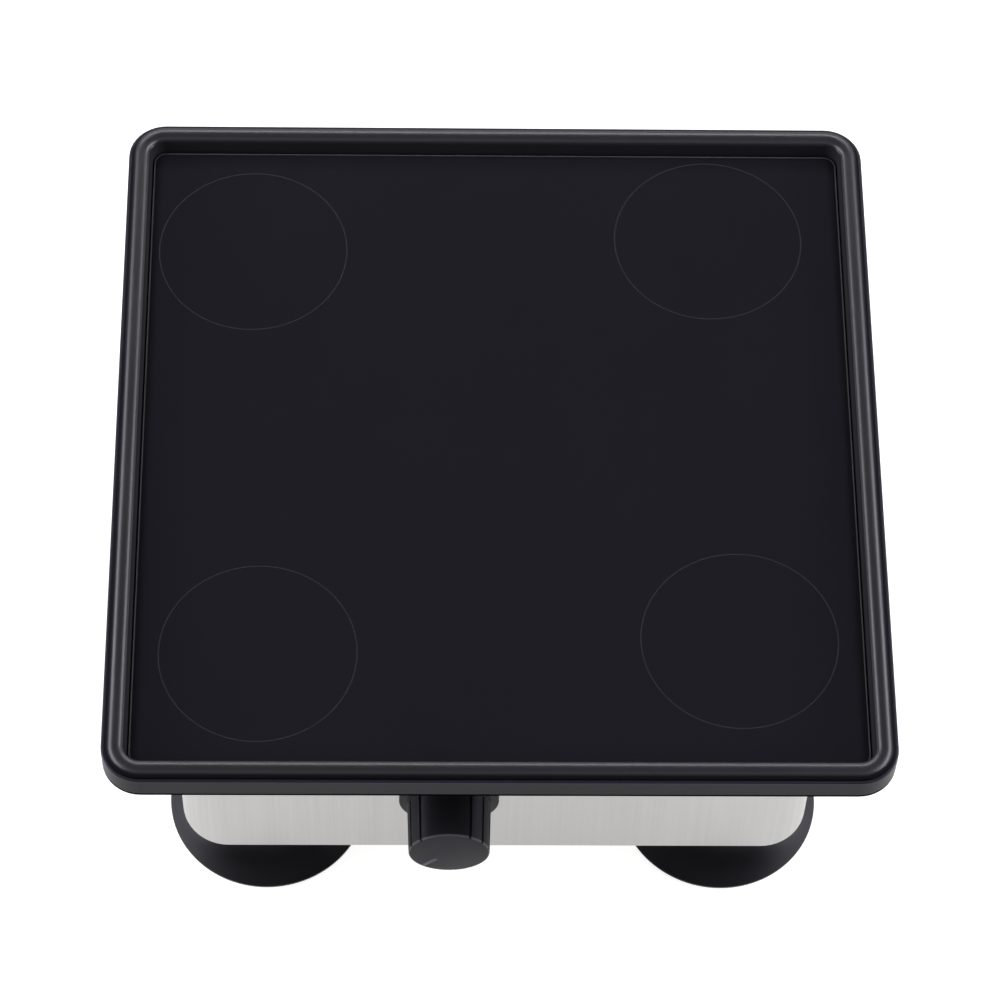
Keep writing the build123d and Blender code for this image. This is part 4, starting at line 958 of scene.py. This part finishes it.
def makeFoot(shape):
    lip, lipHeight = shape["lipRadius"], shape["lipHeight"]
    flare = throughThree((lip, lipHeight), shape["shoulder"], shape["neck"], 24)
    neck = shape["neck"][0]
    top = shape["height"]
    inner = lip - shape["lip"]
    rise = (inner**2 + shape["hollow"] ** 2) / (2 * shape["hollow"])
    reach = math.degrees(math.asin(inner / rise))
    hollow = arcPoints((0, shape["hollow"] - rise), rise, 90 - reach, 90, 18)
    profile = hollow[::-1][:-1] + [(inner, 0.0), (inner + 0.0003, 0.0)]
    profile += [(lip + out, up) for out, up in shape["lipSteps"]]
    profile += flare
    profile += [(neck + out, top - down) for out, down in shape["collarSteps"]]
    return spun("footMould", profile + [(0.0, top)], 112)


footPlaces = {"front_left": (-1, -1), "front_right": (1, -1), "back_left": (-1, 1), "back_right": (1, 1)}
footMould = makeFoot(footShape)
for spotName, (signX, signY) in footPlaces.items():
    foot = copyAt(footMould, signX * footShape["pitch"] / 2, signY * footShape["pitch"] / 2)
    foot.name = "suctionFoot_" + spotName
    smoothed(foot, 40)
    takeOver(foot, "foot_rubber", "base", "suction_foot_" + spotName)
bpy.data.objects.remove(footMould)
print("stage: feet made")


# Rubber buffers between casing and tray

bufferShape = {
    "pitch": 0.150,
    "radius": 0.0095,
    "waist": 0.0012,
    "bottom": 0.087,
    "top": 0.0969,
    "lip": 0.0005,
}


def makeBuffers(shape):
    bottom, top, radius, lip = shape["bottom"], shape["top"], shape["radius"], shape["lip"]
    middle = (radius - shape["waist"], (bottom + top) / 2)
    side = throughThree((radius, bottom + 2 * lip), middle, (radius, top - 2 * lip), 16)
    soft = 0.3 * lip
    profile = [(0.0, bottom), (radius - lip, bottom), (radius - soft, bottom + soft), (radius, bottom + lip)]
    profile += side
    profile += [(radius, top - lip), (radius - soft, top - soft), (radius - lip, top), (0.0, top)]
    mould = spun("bufferMould", profile, 64)
    copies = []
    for signX in (-1, 1):
        for signY in (-1, 1):
            copies.append(copyAt(mould, signX * shape["pitch"] / 2, signY * shape["pitch"] / 2))
    bpy.data.objects.remove(mould)
    clearSelection()
    for copy in copies:
        copy.select_set(True)
    bpy.context.view_layer.objects.active = copies[0]
    bpy.ops.object.join()
    buffers = named("rubberBuffers")
    outward(buffers)
    smoothed(buffers, 50)
    return buffers


rubberBuffers = makeBuffers(bufferShape)
paint(rubberBuffers, finishes["buffer_rubber"])
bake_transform(rubberBuffers)
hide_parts("rubber_buffers")
print("stage: buffers made")


# Lamps, floor and backdrop

studio = {
    "aimHeight": 0.08,
    "sidePlace": (0.98, 0.40, 1.38),
    "sideSize": (1.4, 0.44),
    "sidePower": 14.0,
    "backPlace": (0.0, 0.85, 0.69),
    "backSize": (1.0, 0.18),
    "backPower": 3.8,
    "topPlace": (0.0, -0.75, 2.0),
    "topSize": (2.4, 1.5),
    "topPower": 4.5,
    "lowPlace": (1.25, -0.05, 0.40),
    "lowSize": (0.5, 0.4),
    "lowPower": 8.0,
    "worldGrey": 0.08,
    "floorSize": 14.0,
    "floorDrop": 0.0002,  # keeps the floor clear of the feet
    "wallRadius": 3.2,
    "wallHeight": 1.1,
    "floorWhite": 0.50,
    "floorGlow": 0.86,
    "wallGlow": 1.0,
}


def addLamp(name, place, kind, aim):
    clearSelection()
    bpy.ops.object.light_add(type="AREA", location=place)
    lamp = named(name)
    lamp.data.shape = "RECTANGLE"
    lamp.data.size, lamp.data.size_y = studio[kind + "Size"]
    lamp.data.energy = studio[kind + "Power"]
    lamp.rotation_mode = "QUATERNION"
    lamp.rotation_quaternion = (Vector(aim) - Vector(place)).to_track_quat("-Z", "Y")


def addLampPair(kind, aim):
    # the same lamp on the left and on the right
    x, y, z = studio[kind + "Place"]
    addLamp(kind + "LampLeft", (-x, y, z), kind, aim)
    addLamp(kind + "LampRight", (x, y, z), kind, aim)


middleAim = (0, 0, studio["aimHeight"])
addLampPair("side", (0, studio["sidePlace"][1], studio["aimHeight"]))
addLampPair("low", middleAim)
addLamp("backLamp", studio["backPlace"], "back", middleAim)
addLamp("topLamp", studio["topPlace"], "top", middleAim)


def makeStageWhite(name, strength):
    # seen by camera, gloss and glass it glows to white, and it still takes the object's shadow
    material = bpy.data.materials.new(name)
    material.use_nodes = True
    tree = material.node_tree
    tree.nodes.clear()
    output = tree.nodes.new("ShaderNodeOutputMaterial")
    cover = tree.nodes.new("ShaderNodeBsdfDiffuse")
    cover.inputs["Color"].default_value = (studio["floorWhite"],) * 3 + (1,)
    glow = tree.nodes.new("ShaderNodeEmission")
    path = tree.nodes.new("ShaderNodeLightPath")
    rays = [path.outputs["Is %s Ray" % kind] for kind in ("Camera", "Glossy", "Transmission")]
    seen = mathNode(tree, "MAXIMUM", mathNode(tree, "MAXIMUM", rays[0], rays[1]), rays[2])
    tree.links.new(mathNode(tree, "MULTIPLY", seen, strength), glow.inputs["Strength"])
    both = tree.nodes.new("ShaderNodeAddShader")
    tree.links.new(cover.outputs[0], both.inputs[0])
    tree.links.new(glow.outputs[0], both.inputs[1])
    tree.links.new(both.outputs[0], output.inputs["Surface"])
    return material


def makeStage():
    clearSelection()
    bpy.ops.mesh.primitive_plane_add(size=studio["floorSize"], location=(0, 0, -studio["floorDrop"]))
    floor = named("floor")
    settle(floor)
    clearSelection()
    bpy.ops.mesh.primitive_cylinder_add(
        vertices=96,
        radius=studio["wallRadius"],
        depth=studio["wallHeight"],
        end_fill_type="NOTHING",
        location=(0, 0, studio["wallHeight"] / 2 - studio["floorDrop"]),
    )
    wall = named("backdrop")
    settle(wall)
    bpy.ops.object.mode_set(mode="EDIT")
    bpy.ops.mesh.select_all(action="SELECT")
    bpy.ops.mesh.flip_normals()
    bpy.ops.object.mode_set(mode="OBJECT")
    smoothed(wall, 40)
    paint(floor, makeStageWhite("floorWhite", studio["floorGlow"]))
    paint(wall, makeStageWhite("wallWhite", studio["wallGlow"]))


def makeWorld():
    world = bpy.data.worlds.new("studioWorld")
    world.use_nodes = True
    world.node_tree.nodes["Background"].inputs["Color"].default_value = (1, 1, 1, 1)
    world.node_tree.nodes["Background"].inputs["Strength"].default_value = studio["worldGrey"]
    bpy.context.scene.world = world


makeStage()
makeWorld()
print("stage: studio made")
